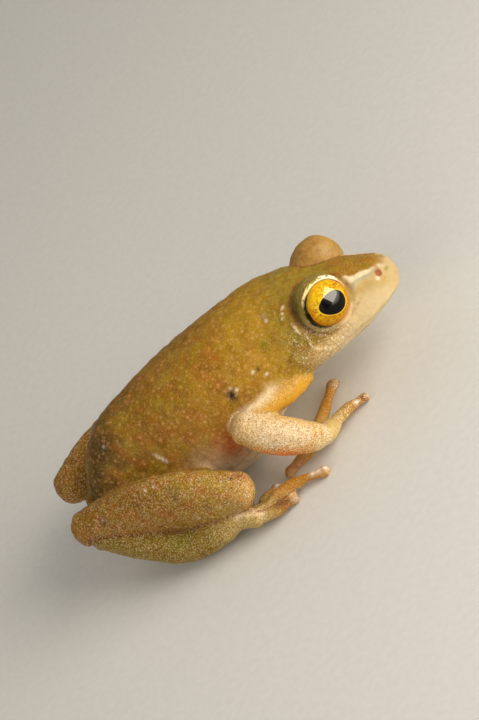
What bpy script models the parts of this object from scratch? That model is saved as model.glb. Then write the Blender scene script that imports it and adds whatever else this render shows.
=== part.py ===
"""Painted reed frog, sitting, life size, as a still model.

Every length is in millimetres until make_object() turns it into metres.
The frog heads along +X, its left side is +Y, and it sits on the plane Z = 0.
Each piece of the body is a loft: round sections carried along a line of stations.
A piece that grows from another is cut back by that neighbour's own loft, grown by GAP,
so the two meet face to face and never touch.
"""

import math

import bmesh
import bpy
import numpy as np
from mathutils import Matrix, Vector

MM = 0.001
GAP = 0.3
SIDES_BODY = 28
SIDES_LIMB = 12
SIDES_DIGIT = 8
FAR = 60.0

# The head: its tip on the mouth plane, and how it is turned (degrees)
SNOUT_TIP = (13.5, -2.0, 4.8)
HEAD_YAW, HEAD_PITCH, HEAD_ROLL = -13.5, 4.8, -9.2
NECK_X = -10.3
MOUTH_Z = -0.1

# Head rows: distance behind the snout tip, half width, height over the mouth plane,
# depth under it
HEAD_ROWS = (
    (-0.35, 1.50, 2.11, 0.30),
    (-1.00, 2.35, 2.55, 0.52),
    (-2.20, 3.25, 3.00, 0.95),
    (-4.00, 4.32, 3.75, 1.45),
    (-6.00, 4.95, 4.36, 1.85),
    (-8.30, 5.12, 5.15, 2.10),
    (-10.3, 5.22, 5.50, 2.45),
)

# Trunk rows from vent to shoulders: centre x, y, z, roll, half width, top, bottom
TRUNK_ROWS = (
    (-16.5, 0.0, 5.60, -3.0, 1.40, 1.75, 1.35),
    (-15.0, 0.0, 5.90, -4.0, 2.30, 3.50, 2.55),
    (-12.3, 0.0, 6.30, -5.0, 3.30, 5.00, 4.00),
    (-8.80, 0.0, 6.40, -5.0, 4.40, 5.42, 5.30),
    (-4.30, 0.0, 6.10, -5.0, 5.30, 5.90, 5.65),
    (0.00, 0.1, 6.10, -6.0, 5.00, 5.75, 3.85),
)
TRUNK_CAP = 0.9
SNOUT_CAP = 0.42
BODY_POWER = 2.15

# Eyes, in the head's own frame (right eye; the left one is its mirror image)
ORBIT = (-5.70, -3.00, 2.85)
ORBIT_RADIUS = 2.36
ORBIT_RISE = 0.12
EYE_AXIS = (0.55, -0.82, 0.12)
EYE_RADIUS = 1.95
EYE_RISE = 0.38
SOCKET_GAP = 0.26
NOSTRIL = (-1.05, -1.62, 1.95)
NOSTRIL_RADIUS = 0.27

# Limb sections: half width across, half height, at the stations of each limb
UPPER_ARM_SIZE = ((0.85, 0.90), (0.98, 0.98), (1.05, 1.08), (1.20, 1.20))
FOREARM_SIZE = ((1.45, 1.45), (1.55, 1.60), (1.45, 1.50), (1.10, 1.15))
HAND_SIZE = ((0.95, 0.95), (1.15, 0.85), (1.05, 0.70))
THIGH_SIZE = ((1.5, 1.5), (1.60, 1.95), (1.60, 2.00), (1.30, 1.60))
SHANK_SIZE = ((1.45, 1.65), (1.60, 2.45), (1.70, 2.70), (1.60, 2.25), (1.40, 1.65))
FOOT_SIZE = (
    (1.20, 1.35),
    (1.25, 1.35),
    (1.20, 1.32),
    (1.05, 1.12),
    (0.85, 0.72),
    (1.00, 0.76),
)
FINGER_SIZE = ((0.50, 0.50), (0.52, 0.50), (0.42, 0.42), (0.64, 0.47))
TOE_SIZE = ((0.48, 0.48), (0.46, 0.46), (0.40, 0.40), (0.60, 0.47))
DISC_Z = 0.38

# The webs between toes: how far along the toes they reach, and half their thickness
WEB_REACH = 0.50
WEB_HALF = 0.27

# Joints of the right limbs, as the photograph shows them
RIGHT = {
    "shoulder": (2.7, -3.9, 4.95),
    "deltoid": (1.3, -4.95, 5.55),
    "humerus": (-1.1, -5.45, 6.45),
    "elbow": (-3.3, -6.2, 6.5),
    "forearm_a": (-2.15, -6.8, 5.2),
    "forearm_b": (-0.67, -7.4, 3.75),
    "wrist": (0.5, -7.6, 2.35),
    "palm_a": (1.0, -7.1, 1.7),
    "palm_b": (1.7, -6.4, 1.35),
    "hip": (-14.8, -1.7, 5.6),
    "thigh_a": (-12.4, -3.8, 5.1),
    "thigh_b": (-9.6, -5.3, 4.3),
    "knee_in": (-7.4, -6.8, 3.7),
    "knee": (-6.68, -8.0, 3.6),
    "shank_a": (-8.8, -7.1, 4.5),
    "shank_b": (-11.6, -5.55, 5.5),
    "shank_c": (-15.2, -3.4, 6.0),
    "heel": (-18.2, -1.7, 6.05),
    "tarsus_a": (-17.7, -2.4, 5.3),
    "tarsus_b": (-15.6, -4.6, 3.6),
    "instep": (-12.7, -6.85, 1.87),
    "metatarsus": (-10.0, -8.05, 1.78),
    "ball": (-8.15, -8.6, 1.75),
    "toe_root": (-7.05, -9.1, 1.38),
}
RIGHT_FINGERS = (
    ((0.6, -5.7, 1.2), (0.1, -4.4, 0.8), (-0.4, -3.2, DISC_Z)),
    ((1.1, -5.9, 1.3), (2.1, -3.3, 0.9), (3.6, -0.6, DISC_Z)),
    ((1.9, -6.3, 1.3), (3.7, -5.6, 1.0), (5.15, -5.0, DISC_Z)),
    ((0.2, -6.9, 1.5), (-1.8, -6.5, 0.9), (-3.15, -6.0, DISC_Z)),
)
RIGHT_TOES = (
    ((-7.8, -8.1, 1.15), (-8.2, -6.9, 0.8), (-8.5, -5.8, DISC_Z)),
    ((-7.2, -8.3, 1.2), (-7.2, -7.0, 0.85), (-7.3, -5.6, DISC_Z)),
    ((-6.9, -8.6, 1.2), (-5.5, -7.3, 0.9), (-4.65, -6.5, DISC_Z)),
    ((-6.5, -9.0, 1.3), (-3.3, -8.4, 1.1), (-0.7, -9.1, DISC_Z)),
    ((-6.7, -9.5, 1.25), (-5.2, -9.75, 0.85), (-3.95, -9.2, DISC_Z)),
)

# Joints of the left limbs, which sit a little otherwise, as a live frog's do
LEFT = {
    "shoulder": (3.0, 4.3, 4.2),
    "deltoid": (1.2, 5.35, 4.6),
    "humerus": (-1.0, 5.9, 5.2),
    "elbow": (-3.0, 6.6, 5.6),
    "forearm_a": (-2.4, 7.2, 4.5),
    "forearm_b": (-1.5, 7.75, 3.3),
    "wrist": (-0.6, 8.0, 2.25),
    "palm_a": (0.0, 7.6, 1.65),
    "palm_b": (0.5, 7.1, 1.3),
    "hip": (-14.8, 1.9, 5.5),
    "thigh_a": (-12.3, 4.2, 4.9),
    "thigh_b": (-9.4, 5.7, 4.1),
    "knee_in": (-7.1, 7.1, 3.6),
    "knee": (-6.2, 8.4, 3.4),
    "shank_a": (-8.6, 7.6, 4.1),
    "shank_b": (-11.6, 6.7, 5.0),
    "shank_c": (-15.2, 5.5, 5.9),
    "heel": (-17.9, 4.6, 6.1),
    "tarsus_a": (-17.6, 5.2, 5.3),
    "tarsus_b": (-15.5, 6.8, 3.6),
    "instep": (-12.4, 8.35, 1.82),
    "metatarsus": (-9.6, 9.15, 1.68),
    "ball": (-7.8, 9.6, 1.6),
    "toe_root": (-6.7, 9.9, 1.35),
}
LEFT_FINGERS = (
    ((0.1, 6.6, 1.2), (-0.2, 5.3, 0.8), (-0.4, 4.2, DISC_Z)),
    ((0.4, 6.8, 1.3), (1.0, 5.3, 1.1), (1.9, 3.7, DISC_Z)),
    ((0.7, 7.1, 1.3), (2.3, 6.6, 1.0), (3.9, 6.0, DISC_Z)),
    ((-0.3, 7.8, 1.4), (-1.4, 8.1, 0.9), (-2.4, 8.1, DISC_Z)),
)
LEFT_TOES = (
    ((-7.5, 8.9, 1.15), (-7.8, 7.6, 0.8), (-8.0, 6.4, DISC_Z)),
    ((-6.9, 9.1, 1.2), (-6.4, 7.6, 0.85), (-6.1, 6.1, DISC_Z)),
    ((-6.4, 9.5, 1.2), (-5.1, 8.3, 0.9), (-4.3, 7.3, DISC_Z)),
    ((-6.0, 9.9, 1.3), (-3.1, 9.9, 1.1), (-0.8, 10.6, DISC_Z)),
    ((-6.3, 10.3, 1.2), (-4.9, 11.0, 0.8), (-3.7, 11.1, DISC_Z)),
)

COLOURS = {
    "skin": (0.52, 0.29, 0.08),
    "limb": (0.66, 0.43, 0.15),
    "digit": (0.72, 0.40, 0.09),
    "throat": (0.78, 0.60, 0.36),
    "eye": (0.85, 0.50, 0.02),
}


def clear_scene():
    for item in list(bpy.data.objects):
        bpy.data.objects.remove(item)


def material(kind):
    """A Principled material of the given kind, made once."""
    found = bpy.data.materials.get(kind)
    if found:
        return found
    made = bpy.data.materials.new(kind)
    made.use_nodes = True
    shader = made.node_tree.nodes["Principled BSDF"]
    shader.inputs["Base Color"].default_value = (*COLOURS[kind], 1.0)
    shader.inputs["Roughness"].default_value = 0.15 if kind == "eye" else 0.45
    shader.inputs["Metallic"].default_value = 0.0
    return made


def turn(yaw, pitch, roll):
    """Rotation matrix from degrees; a positive pitch puts the nose down."""
    return (
        Matrix.Rotation(math.radians(yaw), 3, "Z")
        @ Matrix.Rotation(math.radians(pitch), 3, "Y")
        @ Matrix.Rotation(math.radians(roll), 3, "X")
    )


HEAD_TURN = turn(HEAD_YAW, HEAD_PITCH, HEAD_ROLL)


def head_point(local):
    """A point of the head's own frame, in the frog's frame."""
    return Vector(SNOUT_TIP) + HEAD_TURN @ Vector(local)


def resample(rows, count):
    """Rows of numbers read at count even places along a Catmull-Rom curve through them.

    The first three numbers of a row are its place, and distances are measured there.
    """
    table = np.array(rows, float)
    steps = np.linalg.norm(np.diff(table[:, :3], axis=0), axis=1)
    at = np.concatenate([[0.0], np.cumsum(steps)])
    slope = np.gradient(table, at, axis=0)
    where = np.linspace(0.0, at[-1], count)
    k = np.clip(np.searchsorted(at, where, side="right") - 1, 0, len(at) - 2)
    span = (at[k + 1] - at[k])[:, None]
    t = (where - at[k])[:, None] / span
    return (
        (2 * t**3 - 3 * t**2 + 1) * table[k]
        + (t**3 - 2 * t**2 + t) * span * slope[k]
        + (3 * t**2 - 2 * t**3) * table[k + 1]
        + (t**3 - t**2) * span * slope[k + 1]
    )


def skin_rings(rings, poles):
    """A closed bmesh from rings of points, bridged in order and closed to two poles."""
    bm = bmesh.new()
    loops = [[bm.verts.new(p) for p in ring] for ring in rings]
    for near, far in zip(loops[:-1], loops[1:]):
        for i in range(len(near)):
            j = (i + 1) % len(near)
            bm.faces.new((near[i], near[j], far[j], far[i]))
    for loop, pole in ((loops[0], poles[0]), (loops[-1], poles[1])):
        tip = bm.verts.new(pole)
        for i in range(len(loop)):
            bm.faces.new((loop[i], loop[(i + 1) % len(loop)], tip))
    bmesh.ops.recalc_face_normals(bm, faces=bm.faces)
    bmesh.ops.triangulate(bm, faces=bm.faces)
    return bm


def make_object(name, bm, kind):
    """The bmesh, scaled from millimetres to metres, as an object with its material."""
    bmesh.ops.scale(bm, vec=(MM, MM, MM), verts=bm.verts)
    mesh = bpy.data.meshes.new(name)
    bm.to_mesh(mesh)
    bm.free()
    mesh.materials.append(material(kind))
    made = bpy.data.objects.new(name, mesh)
    bpy.context.scene.collection.objects.link(made)
    return made


def section(half_width, top, bottom, sides, power):
    """Points (side, up) of a superellipse whose upper and lower halves differ."""
    angle = np.linspace(0.0, 2 * math.pi, sides, endpoint=False) + math.pi / sides
    c, s = np.cos(angle), np.sin(angle)
    side = half_width * np.sign(c) * np.abs(c) ** (2 / power)
    up = np.where(s > 0, top, bottom) * np.sign(s) * np.abs(s) ** (2 / power)
    return side, up


def body_rows():
    """Rows of the whole body: place, yaw, pitch, roll, half width, top, bottom."""
    rows = []
    for x, y, z, roll, wide, top, bottom in TRUNK_ROWS:
        rows.append((x, y, z, 0.0, 0.0, roll, wide, top, bottom))
    for back, wide, top, bottom in reversed(HEAD_ROWS):
        place = head_point((back, 0.0, 0.0))
        rows.append((*place, HEAD_YAW, HEAD_PITCH, HEAD_ROLL, wide, top, bottom))
    return rows


def body_loft(grow=0.0, count=24, sides=SIDES_BODY):
    """The trunk and the head as one closed loft, larger all over by grow."""
    rows = resample(body_rows(), count)
    angles = [math.radians(a) for a in (60, 30)]
    tail, snout = TRUNK_CAP + grow, SNOUT_CAP + grow
    rings = [
        body_ring(rows[0], -tail * math.sin(a), math.cos(a), grow, sides) for a in angles
    ]
    rings += [body_ring(row, 0.0, 1.0, grow, sides) for row in rows]
    rings += [
        body_ring(rows[-1], snout * math.sin(a), math.cos(a), grow, sides)
        for a in reversed(angles)
    ]
    return skin_rings(rings, (body_pole(rows[0], -tail), body_pole(rows[-1], snout)))


def body_ring(row, shift, shrink, grow, sides):
    """One ring of the body: its section, shifted along the axis and shrunk to its middle."""
    x, y, z, yaw, pitch, roll, wide, top, bottom = row
    frame = turn(yaw, pitch, roll)
    middle = (top - bottom) / 2
    side, up = section(wide + grow, top + grow, bottom + grow, sides, BODY_POWER)
    up = middle + (up - middle) * shrink
    side = side * shrink
    return [
        Vector((x, y, z)) + frame @ Vector((shift, s, u))
        for s, u in zip(side, up)
    ]


def body_pole(row, shift):
    x, y, z, yaw, pitch, roll, wide, top, bottom = row
    return Vector((x, y, z)) + turn(yaw, pitch, roll) @ Vector(
        (shift, 0.0, (top - bottom) / 2)
    )


def limb_loft(points, sizes, grow=0.0, count=9, sides=SIDES_LIMB, up=(0, 0, 1)):
    """A closed loft along the points, with round ends, larger all over by grow."""
    rows = [(*p, *s) for p, s in zip(points, sizes)]
    rows = resample(rows, count)
    places = rows[:, :3]
    along = np.gradient(places, axis=0)
    along /= np.linalg.norm(along, axis=1)[:, None]
    across = np.cross(np.array(up, float), along)
    across /= np.linalg.norm(across, axis=1)[:, None]
    above = np.cross(along, across)
    rings = []

    def ring(k, shift, shrink):
        wide, high = (rows[k, 3] + grow) * shrink, (rows[k, 4] + grow) * shrink
        side, rise = section(wide, high, high, sides, 2.0)
        centre = places[k] + along[k] * shift
        return centre + side[:, None] * across[k] + rise[:, None] * above[k]

    cap = [0.9 * min(rows[k, 3], rows[k, 4]) + grow for k in (0, -1)]
    for a in (60, 30):
        rings.append(
            ring(0, -cap[0] * math.sin(math.radians(a)), math.cos(math.radians(a)))
        )
    for k in range(count):
        rings.append(ring(k, 0.0, 1.0))
    for a in (30, 60):
        rings.append(
            ring(-1, cap[1] * math.sin(math.radians(a)), math.cos(math.radians(a)))
        )
    poles = [places[0] - along[0] * cap[0], places[-1] + along[-1] * cap[1]]
    return skin_rings(rings, poles)


def ball(centre, radius, axis=(0, 0, 1), rings=9, sides=18):
    """A sphere as rings about an axis."""
    spin = Vector((0, 0, 1)).rotation_difference(Vector(axis)).to_matrix()
    middle = Vector(centre)
    made = []
    for k in range(1, rings):
        lat = math.pi * (k / rings - 0.5)
        made.append(
            [
                middle
                + spin
                @ Vector(
                    (
                        radius * math.cos(lat) * math.cos(2 * math.pi * i / sides),
                        radius * math.cos(lat) * math.sin(2 * math.pi * i / sides),
                        radius * math.sin(lat),
                    )
                )
                for i in range(sides)
            ]
        )
    poles = [middle - spin @ Vector((0, 0, radius)), middle + spin @ Vector((0, 0, radius))]
    return skin_rings(made, poles)


def combine(target, cutter, operation):
    """Applies one Boolean to the target, and removes the cutter.

    The exact solver leaves open edges on the head, so the manifold solver is used.
    """
    step = target.modifiers.new("cut", "BOOLEAN")
    step.operation = operation
    step.solver = "MANIFOLD"
    step.object = cutter
    graph = bpy.context.evaluated_depsgraph_get()
    graph.update()
    made = bpy.data.meshes.new_from_object(target.evaluated_get(graph))
    target.modifiers.clear()
    target.data = made
    bpy.data.objects.remove(cutter)


def keep_largest(target):
    """Keeps the largest closed surface of the object, tidied and triangulated."""
    bm = bmesh.new()
    bm.from_mesh(target.data)
    bmesh.ops.remove_doubles(bm, verts=bm.verts, dist=1e-6)
    seen, islands = set(), []
    for start in bm.verts:
        if start in seen:
            continue
        island, stack = set(), [start]
        while stack:
            vert = stack.pop()
            if vert in island:
                continue
            island.add(vert)
            stack.extend(e.other_vert(vert) for e in vert.link_edges)
        seen |= island
        islands.append(island)
    best = max(islands, key=spread)
    drop = [v for v in bm.verts if v not in best]
    bmesh.ops.delete(bm, geom=drop, context="VERTS")
    bmesh.ops.triangulate(bm, faces=bm.faces)
    bmesh.ops.recalc_face_normals(bm, faces=bm.faces)
    bm.to_mesh(target.data)
    bm.free()


def spread(island):
    """The diagonal of the box round a set of vertices."""
    places = np.array([v.co for v in island])
    return float(np.linalg.norm(places.max(0) - places.min(0)))


def box_between(low, high, frame=None, origin=(0, 0, 0)):
    """A box given by two corners, in a turned frame about an origin if one is given."""
    bm = bmesh.new()
    bmesh.ops.create_cube(bm, size=1.0)
    low, high = Vector(low), Vector(high)
    for vert in bm.verts:
        local = Vector(
            [low[k] if vert.co[k] < 0 else high[k] for k in range(3)]
        )
        vert.co = Vector(origin) + (frame @ local if frame else local)
    return bm


def cut_box(target, low, high, frame=None, origin=(0, 0, 0)):
    cutter = make_object("cutter", box_between(low, high, frame, origin), "skin")
    combine(target, cutter, "DIFFERENCE")


def floor_cut(target):
    """Flattens what reaches the floor."""
    cut_box(target, (-FAR, -FAR, -FAR), (FAR, FAR, 0))


def joints(side):
    """Joint places and digits of one side."""
    if side == "right":
        return RIGHT, RIGHT_FINGERS, RIGHT_TOES
    return LEFT, LEFT_FINGERS, LEFT_TOES


def web(first, second):
    """A thin plate between two neighbouring toes, from their roots part of the way out."""
    bm = bmesh.new()
    for points in (first, second):
        rows = resample([tuple(p) for p in points], 9)
        for k in (0, round(8 * WEB_REACH)):
            for rise in (-WEB_HALF, WEB_HALF):
                bm.verts.new(Vector(rows[k]) + Vector((0.0, 0.0, rise)))
    bmesh.ops.convex_hull(bm, input=bm.verts)
    bmesh.ops.recalc_face_normals(bm, faces=bm.faces)
    bmesh.ops.triangulate(bm, faces=bm.faces)
    return bm


def digit_rows(points, sizes):
    """A digit runs root, knuckle, neck of the disc, disc; the disc is level on the floor."""
    root, knuckle, tip = (Vector(p) for p in points)
    neck = tip.lerp(knuckle, 0.32)
    neck.z = max(neck.z, DISC_Z + 0.12)
    return (root, knuckle, neck, tip), sizes


def make_limbs(side):
    """Every node of one arm and one leg."""
    place, fingers, toes = joints(side)

    def loft(names, sizes, grow=0.0, count=9):
        return limb_loft([place[n] for n in names], sizes, grow, count)

    arm = {
        "upper_arm": (("shoulder", "deltoid", "humerus", "elbow"), UPPER_ARM_SIZE),
        "forearm": (("elbow", "forearm_a", "forearm_b", "wrist"), FOREARM_SIZE),
        "hand": (("wrist", "palm_a", "palm_b"), HAND_SIZE),
    }
    leg = {
        "thigh": (("hip", "thigh_a", "thigh_b", "knee_in"), THIGH_SIZE),
        "shank": (("knee", "shank_a", "shank_b", "shank_c", "heel"), SHANK_SIZE),
        "foot": (
            ("tarsus_a", "tarsus_b", "instep", "metatarsus", "ball", "toe_root"),
            FOOT_SIZE,
        ),
    }
    limb = {**arm, **leg}
    cut_by = {
        "upper_arm": ("body", "forearm"),
        "forearm": ("body",),
        "hand": ("forearm",),
        "thigh": ("body", "shank"),
        "shank": ("body",),
        "foot": ("body", "shank"),
    }
    counts = {"shank": 10, "foot": 12, "hand": 6}
    for name, (names, sizes) in limb.items():
        count = counts.get(name, 9)
        made = make_object(f"{name}_{side}", loft(names, sizes, 0.0, count), "limb")
        for other in cut_by[name]:
            if other == "body":
                cutter = body_loft(GAP)
            else:
                cutter = loft(*limb[other], GAP, counts.get(other, 9))
            combine(made, make_object("cutter", cutter, "skin"), "DIFFERENCE")
        keep_largest(made)
        floor_cut(made)
        keep_largest(made)
    make_digits("finger", side, fingers, FINGER_SIZE, ("hand", "forearm"), limb, loft, counts)
    make_digits("toe", side, toes, TOE_SIZE, ("foot", "shank"), limb, loft, counts)


def make_digits(kind, side, digits, sizes, roots, limb, loft, counts):
    """The fingers or toes of one side, each cut back from what it grows from."""
    for number, digit in enumerate(digits, 1):
        points, radii = digit_rows(digit, sizes)
        made = make_object(
            f"{kind}_{number}_{side}",
            limb_loft(points, radii, 0.0, 7, SIDES_DIGIT),
            "digit",
        )
        if kind == "toe" and number > 1:
            plate = web(digits[number - 2], digit)
            combine(made, make_object("plate", plate, "digit"), "UNION")
        for root in roots:
            cutter = loft(*limb[root], GAP, counts.get(root, 9))
            combine(made, make_object("cutter", cutter, "skin"), "DIFFERENCE")
        for other in range(1, number):
            near, near_radii = digit_rows(digits[other - 1], sizes)
            cutter = limb_loft(near, near_radii, GAP, 7, SIDES_DIGIT)
            combine(made, make_object("cutter", cutter, "skin"), "DIFFERENCE")
        keep_largest(made)
        floor_cut(made)
        keep_largest(made)


def mirror_y(point, sign):
    """A point of the head's frame for the right side (sign -1) or the left (sign 1)."""
    return (point[0], -sign * point[1], point[2])


def make_head():
    """The head with orbits, lids, nostrils and sockets, the lower jaw, and both eyes."""
    head = make_object("head", body_loft(), "skin")
    jaw = make_object("lower_jaw", body_loft(), "throat")
    torso = make_object("torso", body_loft(), "skin")
    half = GAP / 2
    tip = SNOUT_TIP
    cut_box(torso, (NECK_X - half, -FAR, -FAR), (FAR, FAR, FAR), HEAD_TURN, tip)
    for part in (head, jaw):
        cut_box(part, (-FAR, -FAR, -FAR), (NECK_X + half, FAR, FAR), HEAD_TURN, tip)
    cut_box(head, (-FAR, -FAR, -FAR), (FAR, FAR, MOUTH_Z + half), HEAD_TURN, tip)
    cut_box(jaw, (-FAR, -FAR, MOUTH_Z - half), (FAR, FAR, FAR), HEAD_TURN, tip)
    for sign, side in ((-1, "right"), (1, "left")):
        orbit = head_point(mirror_y(ORBIT, sign))
        axis = (HEAD_TURN @ Vector(mirror_y(EYE_AXIS, sign))).normalized()
        eye = orbit + axis * EYE_RISE
        lid = ball(orbit + axis * ORBIT_RISE, ORBIT_RADIUS, axis, 13, 24)
        combine(head, make_object("lid", lid, "skin"), "UNION")
        hollow = ball(eye, EYE_RADIUS + SOCKET_GAP, axis, 13, 24)
        socket = make_object("socket", hollow, "skin")
        combine(head, socket, "DIFFERENCE")
        nostril = head_point(mirror_y(NOSTRIL, sign))
        pit = make_object("pit", ball(nostril, NOSTRIL_RADIUS, axis, 5, 8), "skin")
        combine(head, pit, "DIFFERENCE")
        make_object(f"eye_{side}", ball(eye, EYE_RADIUS, axis, 9, 18), "eye")
    for part in (head, jaw, torso):
        keep_largest(part)


def settle():
    """Moves everything so that the origin is the middle of the base of its box."""
    parts = list(bpy.context.scene.objects)
    points = np.concatenate(
        [np.array([v.co for v in part.data.vertices]) for part in parts]
    )
    low, high = points.min(0), points.max(0)
    shift = Vector((-(low[0] + high[0]) / 2, -(low[1] + high[1]) / 2, -low[2]))
    for part in parts:
        part.data.transform(Matrix.Translation(shift))
        part.data.shade_smooth()
        part.data.set_sharp_from_angle(angle=math.radians(50))
    print("shift in mm", [round(c / MM, 4) for c in shift])


def main():
    clear_scene()
    make_head()
    for side in ("right", "left"):
        make_limbs(side)
    settle()


main()
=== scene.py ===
# %% [markdown]
# # A painted reed frog at rest
# This script dresses the solids of a small tree frog with skin, eyes and light. The solids
# hold the sizes; here we make the surface that the eye sees. We load them first, as a fixed
# frame, and keep their box, so that the skin can be clipped to stay inside it.

# %% Load the frame
import math

import bmesh
import bpy
import numpy as np
from mathutils import Matrix, Vector


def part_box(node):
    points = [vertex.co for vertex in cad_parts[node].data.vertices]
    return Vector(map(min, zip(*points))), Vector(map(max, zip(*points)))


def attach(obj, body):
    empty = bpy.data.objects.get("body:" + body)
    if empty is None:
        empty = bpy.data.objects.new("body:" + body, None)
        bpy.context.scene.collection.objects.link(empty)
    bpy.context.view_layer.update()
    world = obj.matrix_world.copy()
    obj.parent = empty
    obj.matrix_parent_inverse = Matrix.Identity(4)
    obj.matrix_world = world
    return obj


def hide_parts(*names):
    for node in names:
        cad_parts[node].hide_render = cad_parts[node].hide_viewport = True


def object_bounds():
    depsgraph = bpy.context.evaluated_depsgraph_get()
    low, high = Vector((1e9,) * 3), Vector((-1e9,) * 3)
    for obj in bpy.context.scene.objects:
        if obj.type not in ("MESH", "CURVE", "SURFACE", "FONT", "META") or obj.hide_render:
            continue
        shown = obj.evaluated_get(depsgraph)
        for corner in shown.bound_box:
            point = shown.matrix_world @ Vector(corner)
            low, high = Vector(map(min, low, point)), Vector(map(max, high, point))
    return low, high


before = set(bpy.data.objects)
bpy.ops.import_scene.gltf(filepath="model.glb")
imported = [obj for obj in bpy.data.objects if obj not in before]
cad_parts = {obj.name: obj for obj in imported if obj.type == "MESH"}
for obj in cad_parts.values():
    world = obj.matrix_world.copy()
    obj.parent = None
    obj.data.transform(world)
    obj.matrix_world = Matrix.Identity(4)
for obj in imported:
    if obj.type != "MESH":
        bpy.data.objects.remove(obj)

MM = 0.001
cad_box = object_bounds()
print("solids", len(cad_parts), "box in mm", [round(c / MM, 2) for c in (*cad_box[0], *cad_box[1])])

# %% [markdown]
# ## The frog's measures
# A frog's body is easiest to hold as rows of oval sections along a line, the way a ship is
# drawn. The rows below are the ones that the solids were made from, in millimetres, with the
# frog heading along +X. The head has its own frame, turned about the tip of the snout,
# because a sitting frog looks a little aside.

# %% Rows of the head and trunk
SNOUT_TIP = (13.5, -2.0, 4.8)
HEAD_YAW, HEAD_PITCH, HEAD_ROLL = -13.5, 4.8, -9.2
BODY_POWER = 2.15
TRUNK_CAP = 0.9
SNOUT_CAP = 0.42
MOUTH_Z = -0.1
HEAD_ROWS = (
    (-0.35, 1.50, 2.11, 0.30),
    (-1.00, 2.35, 2.55, 0.52),
    (-2.20, 3.25, 3.00, 0.95),
    (-4.00, 4.32, 3.75, 1.45),
    (-6.00, 4.95, 4.36, 1.85),
    (-8.30, 5.12, 5.15, 2.10),
    (-10.3, 5.22, 5.50, 2.45),
)
TRUNK_ROWS = (
    (-16.5, 0.0, 5.60, -3.0, 1.40, 1.75, 1.35),
    (-15.0, 0.0, 5.90, -4.0, 2.30, 3.50, 2.55),
    (-12.3, 0.0, 6.30, -5.0, 3.30, 5.00, 4.00),
    (-8.80, 0.0, 6.40, -5.0, 4.40, 5.42, 5.30),
    (-4.30, 0.0, 6.10, -5.0, 5.30, 5.90, 5.65),
    (0.00, 0.1, 6.10, -6.0, 5.00, 5.75, 3.85),
)
ORBIT = (-5.70, -3.00, 2.85)
ORBIT_RADIUS = 2.36
ORBIT_RISE = 0.12
EYE_AXIS = (0.55, -0.82, 0.12)
SOLID_EYE_RISE = 0.38
print("rows", len(HEAD_ROWS) + len(TRUNK_ROWS))

# %% Joints and digits of both sides
UPPER_ARM_SIZE = ((0.85, 0.90), (0.96, 0.96), (1.02, 1.02), (1.15, 1.12))
FOREARM_SIZE = ((1.35, 1.35), (1.55, 1.60), (1.45, 1.50), (1.10, 1.15))
HAND_SIZE = ((0.95, 0.95), (1.15, 0.85), (1.05, 0.70))
THIGH_SIZE = ((1.5, 1.5), (1.60, 1.95), (1.60, 2.00), (1.30, 1.60))
SHANK_SIZE = ((1.45, 1.65), (1.60, 2.45), (1.70, 2.70), (1.60, 2.25), (1.40, 1.65))
FOOT_SIZE = (
    (1.20, 1.35),
    (1.25, 1.35),
    (1.20, 1.32),
    (1.05, 1.12),
    (0.85, 0.72),
    (1.00, 0.76),
)
FINGER_SIZE = ((0.56, 0.52), (0.52, 0.47), (0.42, 0.40), (0.64, 0.42))
TOE_SIZE = ((0.48, 0.48), (0.44, 0.42), (0.36, 0.36), (0.58, 0.42))
DISC_Z = 0.38
WEB_REACHES = (0.56, 0.56, 0.56, 0.88)
WEB_HALF = 0.14
WEB_DROP = 0.14
RIGHT = {
    "upper_arm": ((2.7, -3.9, 4.95), (1.3, -4.95, 5.50), (-1.0, -5.50, 6.30), (-3.1, -6.25, 6.35)),
    "forearm": ((-3.1, -6.25, 6.35), (-2.15, -6.85, 5.1), (-0.75, -7.45, 3.65), (0.5, -7.6, 2.35)),
    "hand": ((0.5, -7.6, 2.35), (1.0, -7.1, 1.7), (1.7, -6.4, 1.35)),
    "thigh": ((-14.8, -1.7, 5.6), (-12.4, -3.8, 5.1), (-9.6, -5.3, 4.3), (-7.4, -6.8, 3.7)),
    "shank": (
        (-6.68, -8.0, 3.6),
        (-8.8, -7.1, 4.5),
        (-11.6, -5.55, 5.5),
        (-15.2, -3.4, 6.0),
        (-18.2, -1.7, 6.05),
    ),
    "foot": (
        (-17.7, -2.4, 5.3),
        (-15.6, -4.6, 3.6),
        (-12.7, -6.85, 1.87),
        (-10.0, -8.05, 1.78),
        (-8.15, -8.6, 1.75),
        (-7.05, -9.1, 1.38),
    ),
}
RIGHT_FINGERS = (
    ((0.6, -5.7, 1.2), (0.1, -4.4, 0.8), (-0.4, -3.2, DISC_Z)),
    ((0.75, -5.5, 1.35), (2.0, -3.4, 0.9), (3.6, -0.6, DISC_Z)),
    ((1.9, -6.3, 1.3), (3.7, -5.6, 1.0), (5.15, -5.0, DISC_Z)),
    ((0.2, -6.9, 1.5), (-1.8, -6.5, 0.9), (-3.15, -6.0, DISC_Z)),
)
RIGHT_TOES = (
    ((-7.8, -8.1, 1.15), (-8.2, -6.9, 0.8), (-8.5, -5.8, DISC_Z)),
    ((-7.2, -8.3, 1.2), (-7.2, -7.0, 0.85), (-7.3, -5.6, DISC_Z)),
    ((-6.9, -8.6, 1.2), (-5.5, -7.3, 0.9), (-4.65, -6.5, DISC_Z)),
    ((-6.5, -9.0, 1.3), (-3.3, -8.4, 1.1), (-0.7, -9.1, DISC_Z)),
    ((-6.7, -9.5, 1.25), (-5.2, -9.75, 0.85), (-3.95, -9.2, DISC_Z)),
)
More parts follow.
